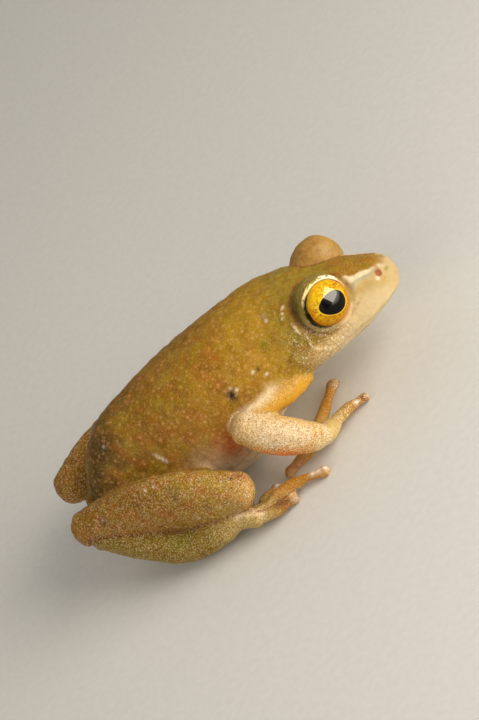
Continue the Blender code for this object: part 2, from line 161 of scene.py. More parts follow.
LEFT = {
    "upper_arm": ((3.0, 4.3, 4.2), (1.2, 5.35, 4.6), (-1.0, 5.9, 5.2), (-3.0, 6.6, 5.6)),
    "forearm": ((-3.0, 6.6, 5.6), (-2.4, 7.2, 4.5), (-1.5, 7.75, 3.3), (-0.6, 8.0, 2.25)),
    "hand": ((-0.6, 8.0, 2.25), (0.0, 7.6, 1.65), (0.5, 7.1, 1.3)),
    "thigh": ((-14.8, 1.9, 5.5), (-12.3, 4.2, 4.9), (-9.4, 5.7, 4.1), (-7.1, 7.1, 3.6)),
    "shank": (
        (-6.2, 8.4, 3.4),
        (-8.6, 7.6, 4.1),
        (-11.6, 6.7, 5.0),
        (-15.2, 5.5, 5.9),
        (-17.9, 4.6, 6.1),
    ),
    "foot": (
        (-17.6, 5.2, 5.3),
        (-15.5, 6.8, 3.6),
        (-12.4, 8.35, 1.82),
        (-9.6, 9.15, 1.68),
        (-7.8, 9.6, 1.6),
        (-6.7, 9.9, 1.35),
    ),
}
LEFT_FINGERS = (
    ((0.1, 6.6, 1.2), (-0.2, 5.3, 0.8), (-0.4, 4.2, DISC_Z)),
    ((0.4, 6.8, 1.3), (1.0, 5.3, 1.1), (1.9, 3.7, DISC_Z)),
    ((0.7, 7.1, 1.3), (2.3, 6.6, 1.0), (3.9, 6.0, DISC_Z)),
    ((-0.3, 7.8, 1.4), (-1.4, 8.1, 0.9), (-2.4, 8.1, DISC_Z)),
)
LEFT_TOES = (
    ((-7.5, 8.9, 1.15), (-7.8, 7.6, 0.8), (-8.0, 6.4, DISC_Z)),
    ((-6.9, 9.1, 1.2), (-6.4, 7.6, 0.85), (-6.1, 6.1, DISC_Z)),
    ((-6.4, 9.5, 1.2), (-5.1, 8.3, 0.9), (-4.3, 7.3, DISC_Z)),
    ((-6.0, 9.9, 1.3), (-3.1, 9.9, 1.1), (-0.8, 10.6, DISC_Z)),
    ((-6.3, 10.3, 1.2), (-4.9, 11.0, 0.8), (-3.7, 11.1, DISC_Z)),
)
SIZES = {
    "upper_arm": UPPER_ARM_SIZE,
    "forearm": FOREARM_SIZE,
    "hand": HAND_SIZE,
    "thigh": THIGH_SIZE,
    "shank": SHANK_SIZE,
    "foot": FOOT_SIZE,
}
print("limb lengths of section", {name: len(RIGHT[name]) for name in SIZES})


# %% Turning and blending
def rotations(yaw, pitch, roll):
    """Rotation matrices for arrays of degrees: roll about X, then pitch about Y, then yaw about Z."""
    a, b, c = (np.radians(np.asarray(v, float)) for v in (yaw, pitch, roll))
    ca, sa, cb, sb, cc, sc = np.cos(a), np.sin(a), np.cos(b), np.sin(b), np.cos(c), np.sin(c)
    rows = (
        (ca * cb, ca * sb * sc - sa * cc, ca * sb * cc + sa * sc),
        (sa * cb, sa * sb * sc + ca * cc, sa * sb * cc - ca * sc),
        (-sb, cb * sc, cb * cc),
    )
    return np.stack([np.stack(np.broadcast_arrays(*row), -1) for row in rows], -2)


def unit(vectors):
    """Vectors divided by their own length."""
    vectors = np.asarray(vectors, float)
    return vectors / np.linalg.norm(vectors, axis=-1, keepdims=True)


def ramp(values, low, high):
    """0 below low, 1 above high, and the smooth cubic 3t2 - 2t3 between them."""
    t = np.clip((values - low) / (high - low), 0.0, 1.0)
    return t * t * (3 - 2 * t)


def bell(values, width):
    """The bell curve exp(-(v / width) squared)."""
    return np.exp(-((values / width) ** 2))


HEAD_TURN = rotations(HEAD_YAW, HEAD_PITCH, HEAD_ROLL)


def head_place(local):
    """Points of the head's own frame, in the frog's frame."""
    return np.asarray(local, float) @ HEAD_TURN.T + np.array(SNOUT_TIP)


def to_head(points):
    """Points of the frog's frame, in the head's own frame."""
    return (points - np.array(SNOUT_TIP)) @ HEAD_TURN


def mirrored(local, side):
    """A head-frame point given for the right side, for that side (right -1, left 1)."""
    return np.array([local[0], -side * local[1], local[2]])


def eye_frame(side, rise):
    """Centre of an eye raised along its axis, and its axis, in the frog's frame."""
    axis = unit(HEAD_TURN @ mirrored(EYE_AXIS, side))
    return head_place(mirrored(ORBIT, side)) + rise * axis, axis


def eye_axes(side, rise):
    """An eye's centre, its axis, and the ways across it towards the snout and up."""
    centre, axis = eye_frame(side, rise)
    up = unit(np.array([0, 0, 1.0]) - axis[2] * axis)
    return centre, axis, np.cross(axis, up) * side, up


def packed_shift():
    """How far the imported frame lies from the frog's own frame, read from where the eyes are."""
    gaps = []
    for name, side in (("eye_right", -1), ("eye_left", 1)):
        low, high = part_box(name)
        middle = (np.array(low) + np.array(high)) / 2 / MM
        gaps.append(middle - eye_frame(side, SOLID_EYE_RISE)[0])
    shift = np.mean(gaps, axis=0)
    shift[2] = 0.0
    return shift


SHIFT = packed_shift()
print("frame shift in mm", SHIFT.round(3))

# %% [markdown]
# ## Lofts
# A loft carries an oval along a line and joins the ovals into a tube. A sculptor would pull
# the same shapes from clay; we work them out, because every section is then a number that we
# can change. Here all rings are computed at once, as one array of points.

# %% Loft functions
BODY_COUNT, BODY_SIDES = 90, 96
LIMB_COUNT, LIMB_SIDES = 34, 36
DIGIT_COUNT, DIGIT_SIDES = 26, 24
CAP_ANGLES = np.radians([75, 60, 45, 30, 15])


def resample(rows, count):
    """Rows of numbers read at count even places along a cubic curve through all of them."""
    table = np.array(rows, float)
    steps = np.linalg.norm(np.diff(table[:, :3], axis=0), axis=1)
    at = np.concatenate([[0.0], np.cumsum(steps)])
    slope = np.gradient(table, at, axis=0)
    where = np.linspace(0.0, at[-1], count)
    k = np.clip(np.searchsorted(at, where, side="right") - 1, 0, len(at) - 2)
    span = (at[k + 1] - at[k])[:, None]
    t = (where - at[k])[:, None] / span
    return (
        (2 * t**3 - 3 * t**2 + 1) * table[k]
        + (t**3 - 2 * t**2 + t) * span * slope[k]
        + (3 * t**2 - 2 * t**3) * table[k + 1]
        + (t**3 - t**2) * span * slope[k + 1]
    )


def ovals(wide, top, bottom, sides, power):
    """Side and up distances of superellipse rings: |s/wide|^p + |u/high|^p = 1, high above or below."""
    angle = np.linspace(0.0, 2 * math.pi, sides, endpoint=False)
    c, s = np.cos(angle), np.sin(angle)
    side = wide[:, None] * (np.sign(c) * np.abs(c) ** (2 / power))
    rise = np.sign(s) * np.abs(s) ** (2 / power)
    return side, np.where(s > 0, top[:, None], bottom[:, None]) * rise


def tube(rings, start, end):
    """Vertices and faces of rings joined in order and closed at two pole points."""
    count, sides, _ = rings.shape
    points = np.concatenate([rings.reshape(-1, 3), [start, end]])
    row, col = np.meshgrid(np.arange(count - 1), np.arange(sides), indexing="ij")
    near = row * sides + col
    far = row * sides + (col + 1) % sides
    quads = np.stack([near, far, far + sides, near + sides], -1).reshape(-1, 4)
    around = np.arange(sides)
    after = (around + 1) % sides
    last = (count - 1) * sides
    pole = count * sides
    first_cap = np.stack([after, around, np.full(sides, pole)], -1)
    last_cap = np.stack([last + around, last + after, np.full(sides, pole + 1)], -1)
    return points, quads.tolist() + first_cap.tolist() + last_cap.tolist()


def with_caps(rows, caps):
    """Rows repeated at both ends, with how far each ring is moved out and how far it is shrunk."""
    before, after = np.sin(CAP_ANGLES), np.sin(CAP_ANGLES[::-1])
    index = np.concatenate([np.zeros(5, int), np.arange(len(rows)), np.full(5, len(rows) - 1)])
    move = np.concatenate([-caps[0] * before, np.zeros(len(rows)), caps[1] * after])
    shrink = np.concatenate([np.cos(CAP_ANGLES), np.ones(len(rows)), np.cos(CAP_ANGLES[::-1])])
    return rows[index], move, shrink


def body_loft():
    """The trunk and head: superellipse rings whose frame turns along the rows, with round ends."""
    rows = [(x, y, z, 0, 0, roll, *size) for x, y, z, roll, *size in TRUNK_ROWS]
    for back, *size in reversed(HEAD_ROWS):
        rows.append((*head_place((back, 0, 0)), HEAD_YAW, HEAD_PITCH, HEAD_ROLL, *size))
    rows, move, shrink = with_caps(resample(rows, BODY_COUNT), (TRUNK_CAP, SNOUT_CAP))
    wide, top, bottom = rows[:, 6], rows[:, 7], rows[:, 8]
    side, up = ovals(wide, top, bottom, BODY_SIDES, BODY_POWER)
    middle = ((top - bottom) / 2)[:, None]
    up = middle + (up - middle) * shrink[:, None]
    side = side * shrink[:, None]
    local = np.stack([np.broadcast_to(move[:, None], side.shape), side, up], -1)
    turned = np.einsum("nij,nkj->nki", rotations(rows[:, 3], rows[:, 4], rows[:, 5]), local)
    rings = rows[:, None, :3] + turned
    ends = []
    for row, out in ((rows[0], -TRUNK_CAP), (rows[-1], SNOUT_CAP)):
        frame_now = rotations(*row[3:6])
        ends.append(row[:3] + frame_now @ np.array([out, 0.0, (row[7] - row[8]) / 2]))
    return tube(rings, *ends)


def limb_loft(points, sizes, count=LIMB_COUNT, sides=LIMB_SIDES):
    """Ellipse rings square to a smooth line through the points, with round ends."""
    rows = resample([(*p, *s) for p, s in zip(points, sizes)], count)
    along = unit(np.gradient(rows[:, :3], axis=0))
    across = unit(np.cross(np.array([0.0, 0.0, 1.0]), along))
    above = np.cross(along, across)
    caps = [0.9 * rows[k, 3:5].min() for k in (0, -1)]
    ends = (rows[0, :3] - along[0] * caps[0], rows[-1, :3] + along[-1] * caps[1])
    table = np.concatenate([rows, along, across, above], axis=1)
    table, move, shrink = with_caps(table, caps)
    side, up = ovals(table[:, 3] * shrink, table[:, 4] * shrink, table[:, 4] * shrink, sides, 2.0)
    rings = (
        table[:, None, :3]
        + move[:, None, None] * table[:, None, 5:8]
        + side[:, :, None] * table[:, None, 8:11]
        + up[:, :, None] * table[:, None, 11:14]
    )
    return tube(rings, *ends)


def digit_points(digit):
    """A digit runs root, knuckle, neck of the disc, disc; the neck stays above the floor."""
    root, knuckle, tip = (np.array(p) for p in digit)
    neck = tip + 0.32 * (knuckle - tip)
    neck[2] = max(neck[2], DISC_Z + 0.12)
    return root, knuckle, neck, tip


def web_plate(first, second, reach):
    """A thin web: two neighbouring toes' lines, read part of the way out, joined by a sheet."""
    lines = [resample([tuple(p) for p in digit], 9)[: 1 + round(8 * reach)] for digit in (first, second)]
    across = np.linspace(0.0, 1.0, 9)[:, None, None]
    sheet = lines[0] * (1 - across) + lines[1] * across
    scoop = (1 - (2 * across - 1) ** 2) * 0.35
    sheet[:, -1] += (sheet[:, 0] - sheet[:, -1]) * scoop[:, 0]
    sheet[..., 2] = np.maximum(sheet[..., 2] - WEB_DROP, WEB_HALF + 0.05)
    ring = np.concatenate([sheet + [0, 0, WEB_HALF], sheet[:, ::-1] - [0, 0, WEB_HALF]], axis=1)
    return tube(ring, ring[0].mean(0), ring[-1].mean(0))


def sphere(centre, radius, axis, rows=40, sides=56):
    """A ball as rings about an axis: radius times the sine and cosine of the latitude."""
    spin = np.array(Vector((0, 0, 1)).rotation_difference(Vector(axis)).to_matrix())
    lat = np.linspace(-math.pi / 2, math.pi / 2, rows + 2)[1:-1]
    lon = np.linspace(0, 2 * math.pi, sides, endpoint=False)
    rings = np.stack(
        [
            radius * np.cos(lat)[:, None] * np.cos(lon),
            radius * np.cos(lat)[:, None] * np.sin(lon),
            np.broadcast_to(radius * np.sin(lat)[:, None], (rows, sides)),
        ],
        -1,
    )
    rings = rings @ spin.T + centre
    pole = radius * unit(axis)
    return tube(rings, centre - pole, centre + pole)


print("body loft points", len(body_loft()[0]))

# %% [markdown]
# ## One skin
# A frog has no seams between its arm and its chest, so all the lofts must melt into one
# surface. We could join them with Booleans, but those leave hard creases. A voxel remesh
# reads the overlapping lofts on a fine grid and gives back one closed skin of even faces,
# whose creases we can then fill as flesh does.

# %% Fuse the lofts
VOXEL = 0.185
SKIN_INSET = 0.02


def flesh_lofts():
    """Every loft of the frog, as vertices and faces."""
    lofts = [body_loft()]
    for side in (-1, 1):
        centre, axis = eye_frame(side, ORBIT_RISE)
        lofts.append(sphere(centre, ORBIT_RADIUS, axis))
    for limbs, fingers, toes in ((RIGHT, RIGHT_FINGERS, RIGHT_TOES), (LEFT, LEFT_FINGERS, LEFT_TOES)):
        lofts += [limb_loft(limbs[name], SIZES[name]) for name in SIZES]
        for digits, sizes in ((fingers, FINGER_SIZE), (toes, TOE_SIZE)):
            lofts += [limb_loft(digit_points(d), sizes, DIGIT_COUNT, DIGIT_SIDES) for d in digits]
        lofts += [web_plate(*pair) for pair in zip(toes[:-1], toes[1:], WEB_REACHES)]
    return lofts


def fuse(lofts):
    """The lofts as one mesh, remeshed into one closed surface of even quads, in millimetres."""
    points, faces, start = [], [], 0
    for vertices, polygons in lofts:
        points.append(vertices)
        faces += [[index + start for index in polygon] for polygon in polygons]
        start += len(vertices)
    mesh = bpy.data.meshes.new("lofts")
    mesh.from_pydata(np.concatenate(points).tolist(), [], faces)
    holder = bpy.data.objects.new("lofts", mesh)
    bpy.context.scene.collection.objects.link(holder)
    remesh = holder.modifiers.new("fuse", "REMESH")
    remesh.mode = "VOXEL"
    remesh.voxel_size = VOXEL
    graph = bpy.context.evaluated_depsgraph_get()
    graph.update()
    fused = bpy.data.meshes.new_from_object(holder.evaluated_get(graph))
    bpy.data.objects.remove(holder)
    bpy.data.meshes.remove(mesh)
    return fused


def largest_piece(mesh):
    """Keeps the largest connected surface of a mesh, which drops anything sealed inside."""
    bm = bmesh.new()
    bm.from_mesh(mesh)
    bm.verts.ensure_lookup_table()
    label = np.full(len(bm.verts), -1)
    sizes = []
    for seed in bm.verts:
        if label[seed.index] >= 0:
            continue
        label[seed.index] = len(sizes)
        stack, count = [seed], 0
        while stack:
            vert = stack.pop()
            count += 1
            for edge in vert.link_edges:
                other = edge.other_vert(vert)
                if label[other.index] < 0:
                    label[other.index] = len(sizes)
                    stack.append(other)
        sizes.append(count)
    drop = [v for v in bm.verts if label[v.index] != int(np.argmax(sizes))]
    bmesh.ops.delete(bm, geom=drop, context="VERTS")
    bm.to_mesh(mesh)
    bm.free()
    print("surfaces", len(sizes), "largest", max(sizes), "dropped vertices", len(drop))


skin_mesh = fuse(flesh_lofts())
largest_piece(skin_mesh)
print("fused skin faces", len(skin_mesh.polygons))


# %% Reading and writing a mesh as arrays
def points_of(mesh):
    """Vertex places as an array."""
    flat = np.empty(len(mesh.vertices) * 3)
    mesh.vertices.foreach_get("co", flat)
    return flat.reshape(-1, 3)


def set_points(mesh, points):
    """Puts an array of places back into the mesh."""
    mesh.vertices.foreach_set("co", points.ravel())
    mesh.update()


def normals_of(mesh):
    """Outward normals at the vertices, as an array."""
    flat = np.empty(len(mesh.vertices) * 3)
    mesh.vertex_normals.foreach_get("vector", flat)
    return flat.reshape(-1, 3)


def edges_of(mesh):
    """Pairs of vertex numbers, one for each edge."""
    flat = np.empty(len(mesh.edges) * 2, int)
    mesh.edges.foreach_get("vertices", flat)
    return flat.reshape(-1, 2)


def pull(points, edges):
    """For each vertex, the way from it to the mean of its neighbours."""
    count = np.bincount(edges.ravel(), minlength=len(points))[:, None]
    total = np.empty_like(points)
    for axis in range(3):
        near = np.bincount(edges[:, 0], weights=points[edges[:, 1], axis], minlength=len(points))
        far = np.bincount(edges[:, 1], weights=points[edges[:, 0], axis], minlength=len(points))
        total[:, axis] = near + far
    return total / count - points


def spread(values, edges, passes):
    """A number at each vertex, blurred by that many passes of averaging with its neighbours."""
    values = np.asarray(values, float).reshape(-1, 1)
    count = np.bincount(edges.ravel(), minlength=len(values))
    for _ in range(passes):
        near = np.bincount(edges[:, 0], weights=values[edges[:, 1], 0], minlength=len(values))
        far = np.bincount(edges[:, 1], weights=values[edges[:, 0], 0], minlength=len(values))
        values = (0.5 * values[:, 0] + 0.5 * (near + far) / count).reshape(-1, 1)
    return values[:, 0]


def even_out(points, edges, passes, amount=1.0):
    """Taubin smoothing: a step towards the neighbours' mean, then a slightly larger step back."""
    for _ in range(passes):
        points = points + 0.5 * amount * pull(points, edges)
        points = points - 0.52 * amount * pull(points, edges)
    return points


def fill_creases(mesh, passes, amount):
    """Moves only the hollow places outwards, a part of the way to their neighbours' mean."""
    points, edges = points_of(mesh), edges_of(mesh)
    moved = np.zeros(len(points))
    for _ in range(passes):
        normal = normals_of(mesh)
        step = np.clip((pull(points, edges) * normal).sum(1), 0.0, None) * amount
        points = points + step[:, None] * normal
        moved += step
        set_points(mesh, points)
    return moved


edges = edges_of(skin_mesh)
set_points(skin_mesh, even_out(points_of(skin_mesh), edges, 24))
crease = fill_creases(skin_mesh, 12, 0.7)
set_points(skin_mesh, even_out(points_of(skin_mesh), edges, 4))
print("deepest crease filled, mm", round(float(crease.max()), 3))

# %% [markdown]
# ## A finer head and finer fingers
# The lids, nostrils and lips are small, so the skin needs more points there than on the
# back. We split the faces of the head, hands and toes in two each way, and round the new
# points, before any fine form is pressed in.

# %% Split the faces where detail goes
def limb_table(points, sizes, count):
    """A limb's centre line with the ways across and above it and the two half sizes, as one array."""
    rows = resample([(*p, *s) for p, s in zip(points, sizes)], count)
    along = unit(np.gradient(rows[:, :3], axis=0))
    across = unit(np.cross(np.array([0.0, 0.0, 1.0]), along))
    return np.concatenate([rows, across, np.cross(along, across)], axis=1)


def owner_lines():
    """The tables of every limb and digit, each with its kind."""
    lines = []
    for limbs, fingers, toes in ((RIGHT, RIGHT_FINGERS, RIGHT_TOES), (LEFT, LEFT_FINGERS, LEFT_TOES)):
        lines += [(name, limb_table(limbs[name], SIZES[name], 30)) for name in SIZES]
        lines += [("finger", limb_table(digit_points(d), FINGER_SIZE, 16)) for d in fingers]
        lines += [("toe", limb_table(digit_points(d), TOE_SIZE, 16)) for d in toes]
    return lines


OWNER_LINES = owner_lines()
FAR_OFF = 9.0


def outside_one(points, table):
    """Distance outside one limb's oval sections, negative inside: |r| (1 - 1 / q), q the oval's ratio."""
    low, high = table[:, :3].min(0) - 3.5, table[:, :3].max(0) + 3.5
    near = np.nonzero(((points > low) & (points < high)).all(1))[0]
    place = points[near]
    nearest = np.linalg.norm(place[:, None] - table[None, :, :3], axis=2).argmin(1)
    row = table[nearest]
    away = place - row[:, :3]
    side = (away * row[:, 5:8]).sum(1) / row[:, 3]
    rise = (away * row[:, 8:11]).sum(1) / row[:, 4]
    ratio = np.maximum(np.hypot(side, rise), 0.05)
    gap = np.full(len(points), FAR_OFF)
    gap[near] = np.linalg.norm(away, axis=1) * (1 - 1 / ratio)
    past = (nearest == 0) | (nearest == len(table) - 1)
    ball = np.linalg.norm(away, axis=1) - row[:, 3:5].max(1)
    gap[near] = np.where(past, np.maximum(gap[near], ball), gap[near])
    return gap


def outside(points, *kinds):
    """Distance outside the nearest limb of these kinds, negative inside."""
    gaps = [outside_one(points, table) for kind, table in OWNER_LINES if kind in kinds]
    return np.min(gaps, axis=0)


def belongs(points, *kinds, start=0.05, reach=0.35):
    """How much each point belongs to limbs of these kinds: 1 up to start outside them, 0 past reach."""
    return 1.0 - ramp(outside(points, *kinds), start, start + reach)


def meeting(points, first, second, width):
    """1 along the line where two kinds of limb press together, 0 away from it."""
    one, other = outside(points, first), outside(points, second)
    return bell(one - other, width) * (1 - ramp(np.maximum(one, other), 0.5, 0.9))


def between_digits(points):
    """1 in the grooves between digits that lie close side by side."""
    gaps = [outside_one(points, table) for kind, table in OWNER_LINES if kind in ("finger", "toe")]
    first, second = np.sort(gaps, axis=0)[:2]
    return bell(second - first, 0.10) * (1 - ramp(second, 0.22, 0.40))


def split_faces(mesh, wanted):
    """Cuts every edge between wanted vertices in two, and fills the faces with smaller ones."""
    bm = bmesh.new()
    bm.from_mesh(mesh)
    bm.verts.ensure_lookup_table()
    chosen = [e for e in bm.edges if wanted[e.verts[0].index] and wanted[e.verts[1].index]]
    bmesh.ops.subdivide_edges(bm, edges=chosen, cuts=1, use_grid_fill=True)
    large = [f for f in bm.faces if len(f.verts) > 4]
    bmesh.ops.triangulate(bm, faces=large)
    bm.to_mesh(mesh)
    bm.free()


def triangles(mesh):
    """How many triangles the mesh has once its faces are split."""
    return sum(len(p.vertices) - 2 for p in mesh.polygons)


# Each mark has a colour, a size in millimetres, a strength from 0 to 1, and its places.
DARK_PIN = "#1E150D"
FLECK_AND_GLINT = "#F6EADA"
PAINTED_GLINT = "#FFF6EA"
MARKS = (
    # Painted shade: a dark patch over the rump, towards the groin between the trunk and the far thigh.
    ("#4A381C", 1.00, 0.80, ((-12.6, -1.0, 10.9), (-13.4, -1.3, 10.2), (-14.7, -1.3, 9.0))),
    ("#4A381C", 1.00, 0.80, ((-15.9, -0.7, 7.9),)),
    ("#66700E", 0.55, 0.60, ((2.31, -3.58, 9.32), (-10.4, -7.53, 6.95), (-13.1, -7.22, 3.13))),
    ("#66700E", 0.55, 0.60, ((-12.4, -7.4, 3.2),)),
    ("#5E3410", 0.50, 0.95, ((-4.56, -9.72, 0.99), (-5.0, -9.35, 0.95))),
    ("#E0C090", 0.22, 0.80, ((-3.70, -9.65, 0.60), (-3.80, -9.20, 0.80))),
    ("#A8603C", 0.50, 0.60, ((-5.58, -8.36, 4.53), (-6.10, -8.30, 4.90))),
    ("#A88C78", 0.24, 0.80, ((3.40, -1.40, 10.20), (3.50, -1.80, 10.30), (3.55, -2.20, 10.39))),
    (DARK_PIN, 0.36, 1.00, ((-2.24, -4.71, 8.58), (-2.10, -4.75, 8.35))),
    (DARK_PIN, 0.15, 0.95, ((-8.25, -7.90, 6.56), (-6.37, -8.41, 5.20), (-5.84, -8.36, 4.81))),
    (DARK_PIN, 0.15, 0.95, ((0.60, -4.35, 8.49),)),
    ("#74421A", 0.28, 0.80, ((-16.68, -4.05, 7.02), (-16.56, -4.02, 7.24))),
    # Pale flecks of the skin, with painted white highlights among them, one on the dark fleck of the flank.
    (FLECK_AND_GLINT, 0.13, 0.95, ((-1.64, -4.65, 8.53), (3.55, -2.60, 10.23), (0.18, -4.38, 8.60))),
    (FLECK_AND_GLINT, 0.13, 0.95, ((0.88, -4.52, 7.73),)),
    # Painted highlights: small grey-white glints, most of them on dark flecks.
    ("#C8BCAC", 0.15, 0.80, ((-1.95, -4.54, 8.95), (4.07, 1.47, 10.78), (-12.68, -1.33, 10.60))),
    ("#C8BCAC", 0.15, 0.80, ((-16.5, -4.1, 7.35),)),
    # Painted highlights: white glints on the shank and knee.
    (FLECK_AND_GLINT, 0.11, 0.85, ((-10.45, -7.99, 4.06), (-12.41, -6.63, 3.99), (-11.4, -6.3, 7.94))),
    (FLECK_AND_GLINT, 0.11, 0.85, ((-12.1, -6.0, 7.98),)),
    ("#8E5610", 0.42, 0.80, ((5.07, -5.47, 0.71), (-4.69, -9.93, 0.92))),
    ("#D8A47C", 0.60, 0.70, ((-2.05, -6.89, 0.88), (-2.60, -6.60, 0.60))),
    # A pale grey painted highlight on a finger's disc, and a pale toe tip.
    ("#CDBBA4", 0.34, 0.80, ((3.83, -1.21, 0.59), (-3.69, -9.62, 0.60))),
    # Painted highlights: white glints of wet skin on the digits.
    (PAINTED_GLINT, 0.24, 0.95, ((4.48, -5.65, 0.98), (5.60, -5.26, 0.60), (-4.47, -6.71, 0.76))),
    (PAINTED_GLINT, 0.24, 0.95, ((-1.05, -9.05, 0.80), (-0.55, -9.15, 0.68), (-0.15, -9.25, 0.52))),
    (PAINTED_GLINT, 0.24, 0.95, ((-1.55, -8.95, 0.95),)),
)
# Faces are split on the head, on the digits and round the marks that are small, all in mm.
FINE_MARK = 0.5
FINE_ROUND_MARK = 0.8
FINE_HEAD = -9.6
points = points_of(skin_mesh)
local = to_head(points)
fine = (local[:, 0] > FINE_HEAD) | (belongs(points, "finger", "toe", "hand") > 0.5)
for code, size, strength, places in MARKS:
    for place in places:
        if size < FINE_MARK:
            fine |= np.linalg.norm(points - np.array(place), axis=1) < FINE_ROUND_MARK
split_faces(skin_mesh, fine)
points = points_of(skin_mesh)
edges = edges_of(skin_mesh)
set_points(skin_mesh, even_out(points, edges, 8))
print("skin triangles after the split", triangles(skin_mesh))

# %% [markdown]
# ## Eyes and lids
# A reed frog's eye stands out as a ball in a ring of skin. The ring's edge lies close on the
# eye, thick above and thin below. We press the skin into that shape by its distance from the
# eye's centre: inside the opening it goes under the eyeball, and outside it follows the eye
# at a small height. Working from the centre keeps the rim even all round.

# %% Press the lids
EYE_RADIUS = 2.00
EYE_RISE = 0.34
OPENING = 66.0
LEFT_LID_DROOP = 17.0
LID_HEIGHT = 0.17
LID_TUCK = 0.28


def about_eye(points, side):
    """Distance, angle off the axis in degrees, and turn in radians (0 up, snout positive), for one eye."""
    centre, axis, fore, up = eye_axes(side, EYE_RISE)
    away = points - centre
    reach = np.linalg.norm(away, axis=1)
    off = np.degrees(np.arccos(np.clip(away @ axis / np.maximum(reach, 1e-9), -1, 1)))
    return reach, off, np.arctan2(away @ fore, away @ up), centre


def lid_edge(turn, side):
    """Angle off the axis of the lid's edge: a near circle, flatter above, lower over the left eye."""
    above = np.clip(np.cos(turn), 0, 1) ** 2
    behind = np.clip(-np.sin(turn), 0, 1) ** 4
    droop = LEFT_LID_DROOP * ramp(np.cos(turn - 0.5), -0.1, 0.8) * (side > 0)
    return OPENING - 2.0 * above + 1.5 * behind - droop


def orbit_gap(points, side):
    """How far points lie outside the ball of skin round an eye."""
    centre, axis = eye_frame(side, ORBIT_RISE)
    return np.linalg.norm(points - centre, axis=1) - ORBIT_RADIUS


def press_lids(points, side):
    """Sets each point's distance from the eye by its angle off the axis, blended into the head.

    Inside the opening the skin goes under the ball. Flesh that stood high before the eye is
    drawn back to the lid's edge, more so the nearer it was, which leaves a smooth cup there.
    """
    centre, axis, fore, up = eye_axes(side, EYE_RISE)
    reach, off, turn, centre = about_eye(points, side)
    near = (reach < 4.3) & (off < 125)
    edge = lid_edge(turn, side)
    past = off - edge
    thick = LID_HEIGHT * (1 + 0.35 * np.cos(turn))
    rim = EYE_RADIUS + 0.02 + thick * np.sin(np.clip(past / 9.0, 0, 1) * math.pi / 2)
    rim = rim + 0.05 * bell(past - 7.0, 4.0) * ramp(np.cos(turn), -0.4, 0.6)
    keep = 1 - (1 - ramp(past, 10.0, 34.0)) * (1 - ramp(reach, 2.7, 4.2))
    slant = np.radians(np.maximum(off, edge))
    across = np.cos(turn)[:, None] * up + np.sin(turn)[:, None] * fore
    onto = centre + rim[:, None] * (np.cos(slant)[:, None] * axis + np.sin(slant)[:, None] * across)
    risen = onto * (1 - keep)[:, None] + points * keep[:, None]
    under = centre + (points - centre) * ((EYE_RADIUS - LID_TUCK) / np.maximum(reach, 1e-9))[:, None]
    lift = np.maximum(ramp(past, -4.0, 0.5), ramp(reach, 2.45, 2.75))[:, None]
    return np.where(near[:, None], under * (1 - lift) + risen * lift, points)


def relax_before_eyes(points, edges, passes):
    """Evens out the mesh of the cups before the eyes, with the lids' edges held."""
    hold = np.zeros(len(points))
    for side in (-1, 1):
        reach, off, turn, centre = about_eye(points, side)
        ahead = ramp(np.sin(turn), -0.1, 0.3) * ramp(reach, 2.22, 2.5) * (1 - ramp(reach, 3.9, 4.6))
        hold = np.maximum(hold, ahead * (off < 95))
    for _ in range(passes):
        points = points + 0.5 * hold[:, None] * pull(points, edges)
    return points


points = points_of(skin_mesh)
band = np.zeros(len(points), bool)
for side in (-1, 1):
    reach, off, turn, centre = about_eye(points, side)
    past = off - lid_edge(turn, side)
    band |= (reach < 3.2) & (past > -9) & (past < 22) | (reach > 2.5) & (reach < 3.6) & (past < -8)
split_faces(skin_mesh, band)
points = points_of(skin_mesh)
edges = edges_of(skin_mesh)
points = even_out(points, edges, 2)
for side in (-1, 1):
    points = press_lids(points, side)
points = relax_before_eyes(points, edges, 8)
set_points(skin_mesh, points)
print("skin triangles with lids", triangles(skin_mesh))

# %% [markdown]
# ## Nostrils, lips and folds
# Fine forms are small hollows and ridges pressed along the surface's own normal. Each is a
# bell curve of the distance to a point or a line drawn on the head, so we can place it by
# where it sits on the frog and set its depth in millimetres.

# %% Press the fine forms
CAMERA_BACK = (0.1026, -0.8406, 0.5319)
NOSTRIL = (-1.09, -1.43, 1.79)
CANTHUS = (
    (-3.35, -1.95, 3.08),
    (-2.72, -1.97, 2.78),
    (-2.08, -1.63, 2.61),
    (-1.52, -1.47, 2.38),
    (-1.17, -1.19, 2.25),
    (-0.81, -0.99, 2.08),
    (-0.42, -0.82, 1.95),
)
SLATE_LINE = (
    (-3.05, -2.62, 2.52),
    (-2.74, -2.25, 2.59),
    (-2.41, -2.09, 2.51),
    (-1.91, -1.87, 2.37),
    (-1.58, -1.66, 2.30),
    (-1.18, -1.35, 2.17),
)
GOLD_BAND = ((-3.02, -2.98, 2.15), (-1.99, -2.35, 2.02), (-1.25, -2.00, 1.60), (-0.78, -1.69, 1.28))
EYE_CORNER = ((-3.29, -2.72, 2.58), (-3.28, -3.11, 2.19), (-3.39, -3.43, 1.89))
EYE_FOLDS = (
    ((-2.61, -3.04, 1.73), (-3.15, -3.47, 1.56), (-3.57, -3.83, 1.31), (-4.07, -4.16, 1.11)),
    ((-3.17, -3.33, 1.85), (-3.58, -3.69, 1.61), (-3.91, -3.96, 1.43)),
)
LORE_FOLD = (
    (-2.71, -3.16, 1.62),
    (-3.05, -3.46, 1.47),
    (-3.41, -3.71, 1.38),
    (-3.81, -4.00, 1.20),
    (-4.13, -4.20, 1.09),
)
PALE_AND_LIT_FOLDS = (
    ((-7.83, -4.90, 1.43), (-7.76, -5.07, 0.64), (-7.11, -5.04, 0.11), (-6.66, -4.54, -0.25)),
    ((-8.28, -4.27, 3.01), (-8.05, -4.71, 2.10), (-7.78, -4.78, 1.88)),
    ((-8.23, -2.97, 4.29), (-8.84, -3.83, 3.65)),
)
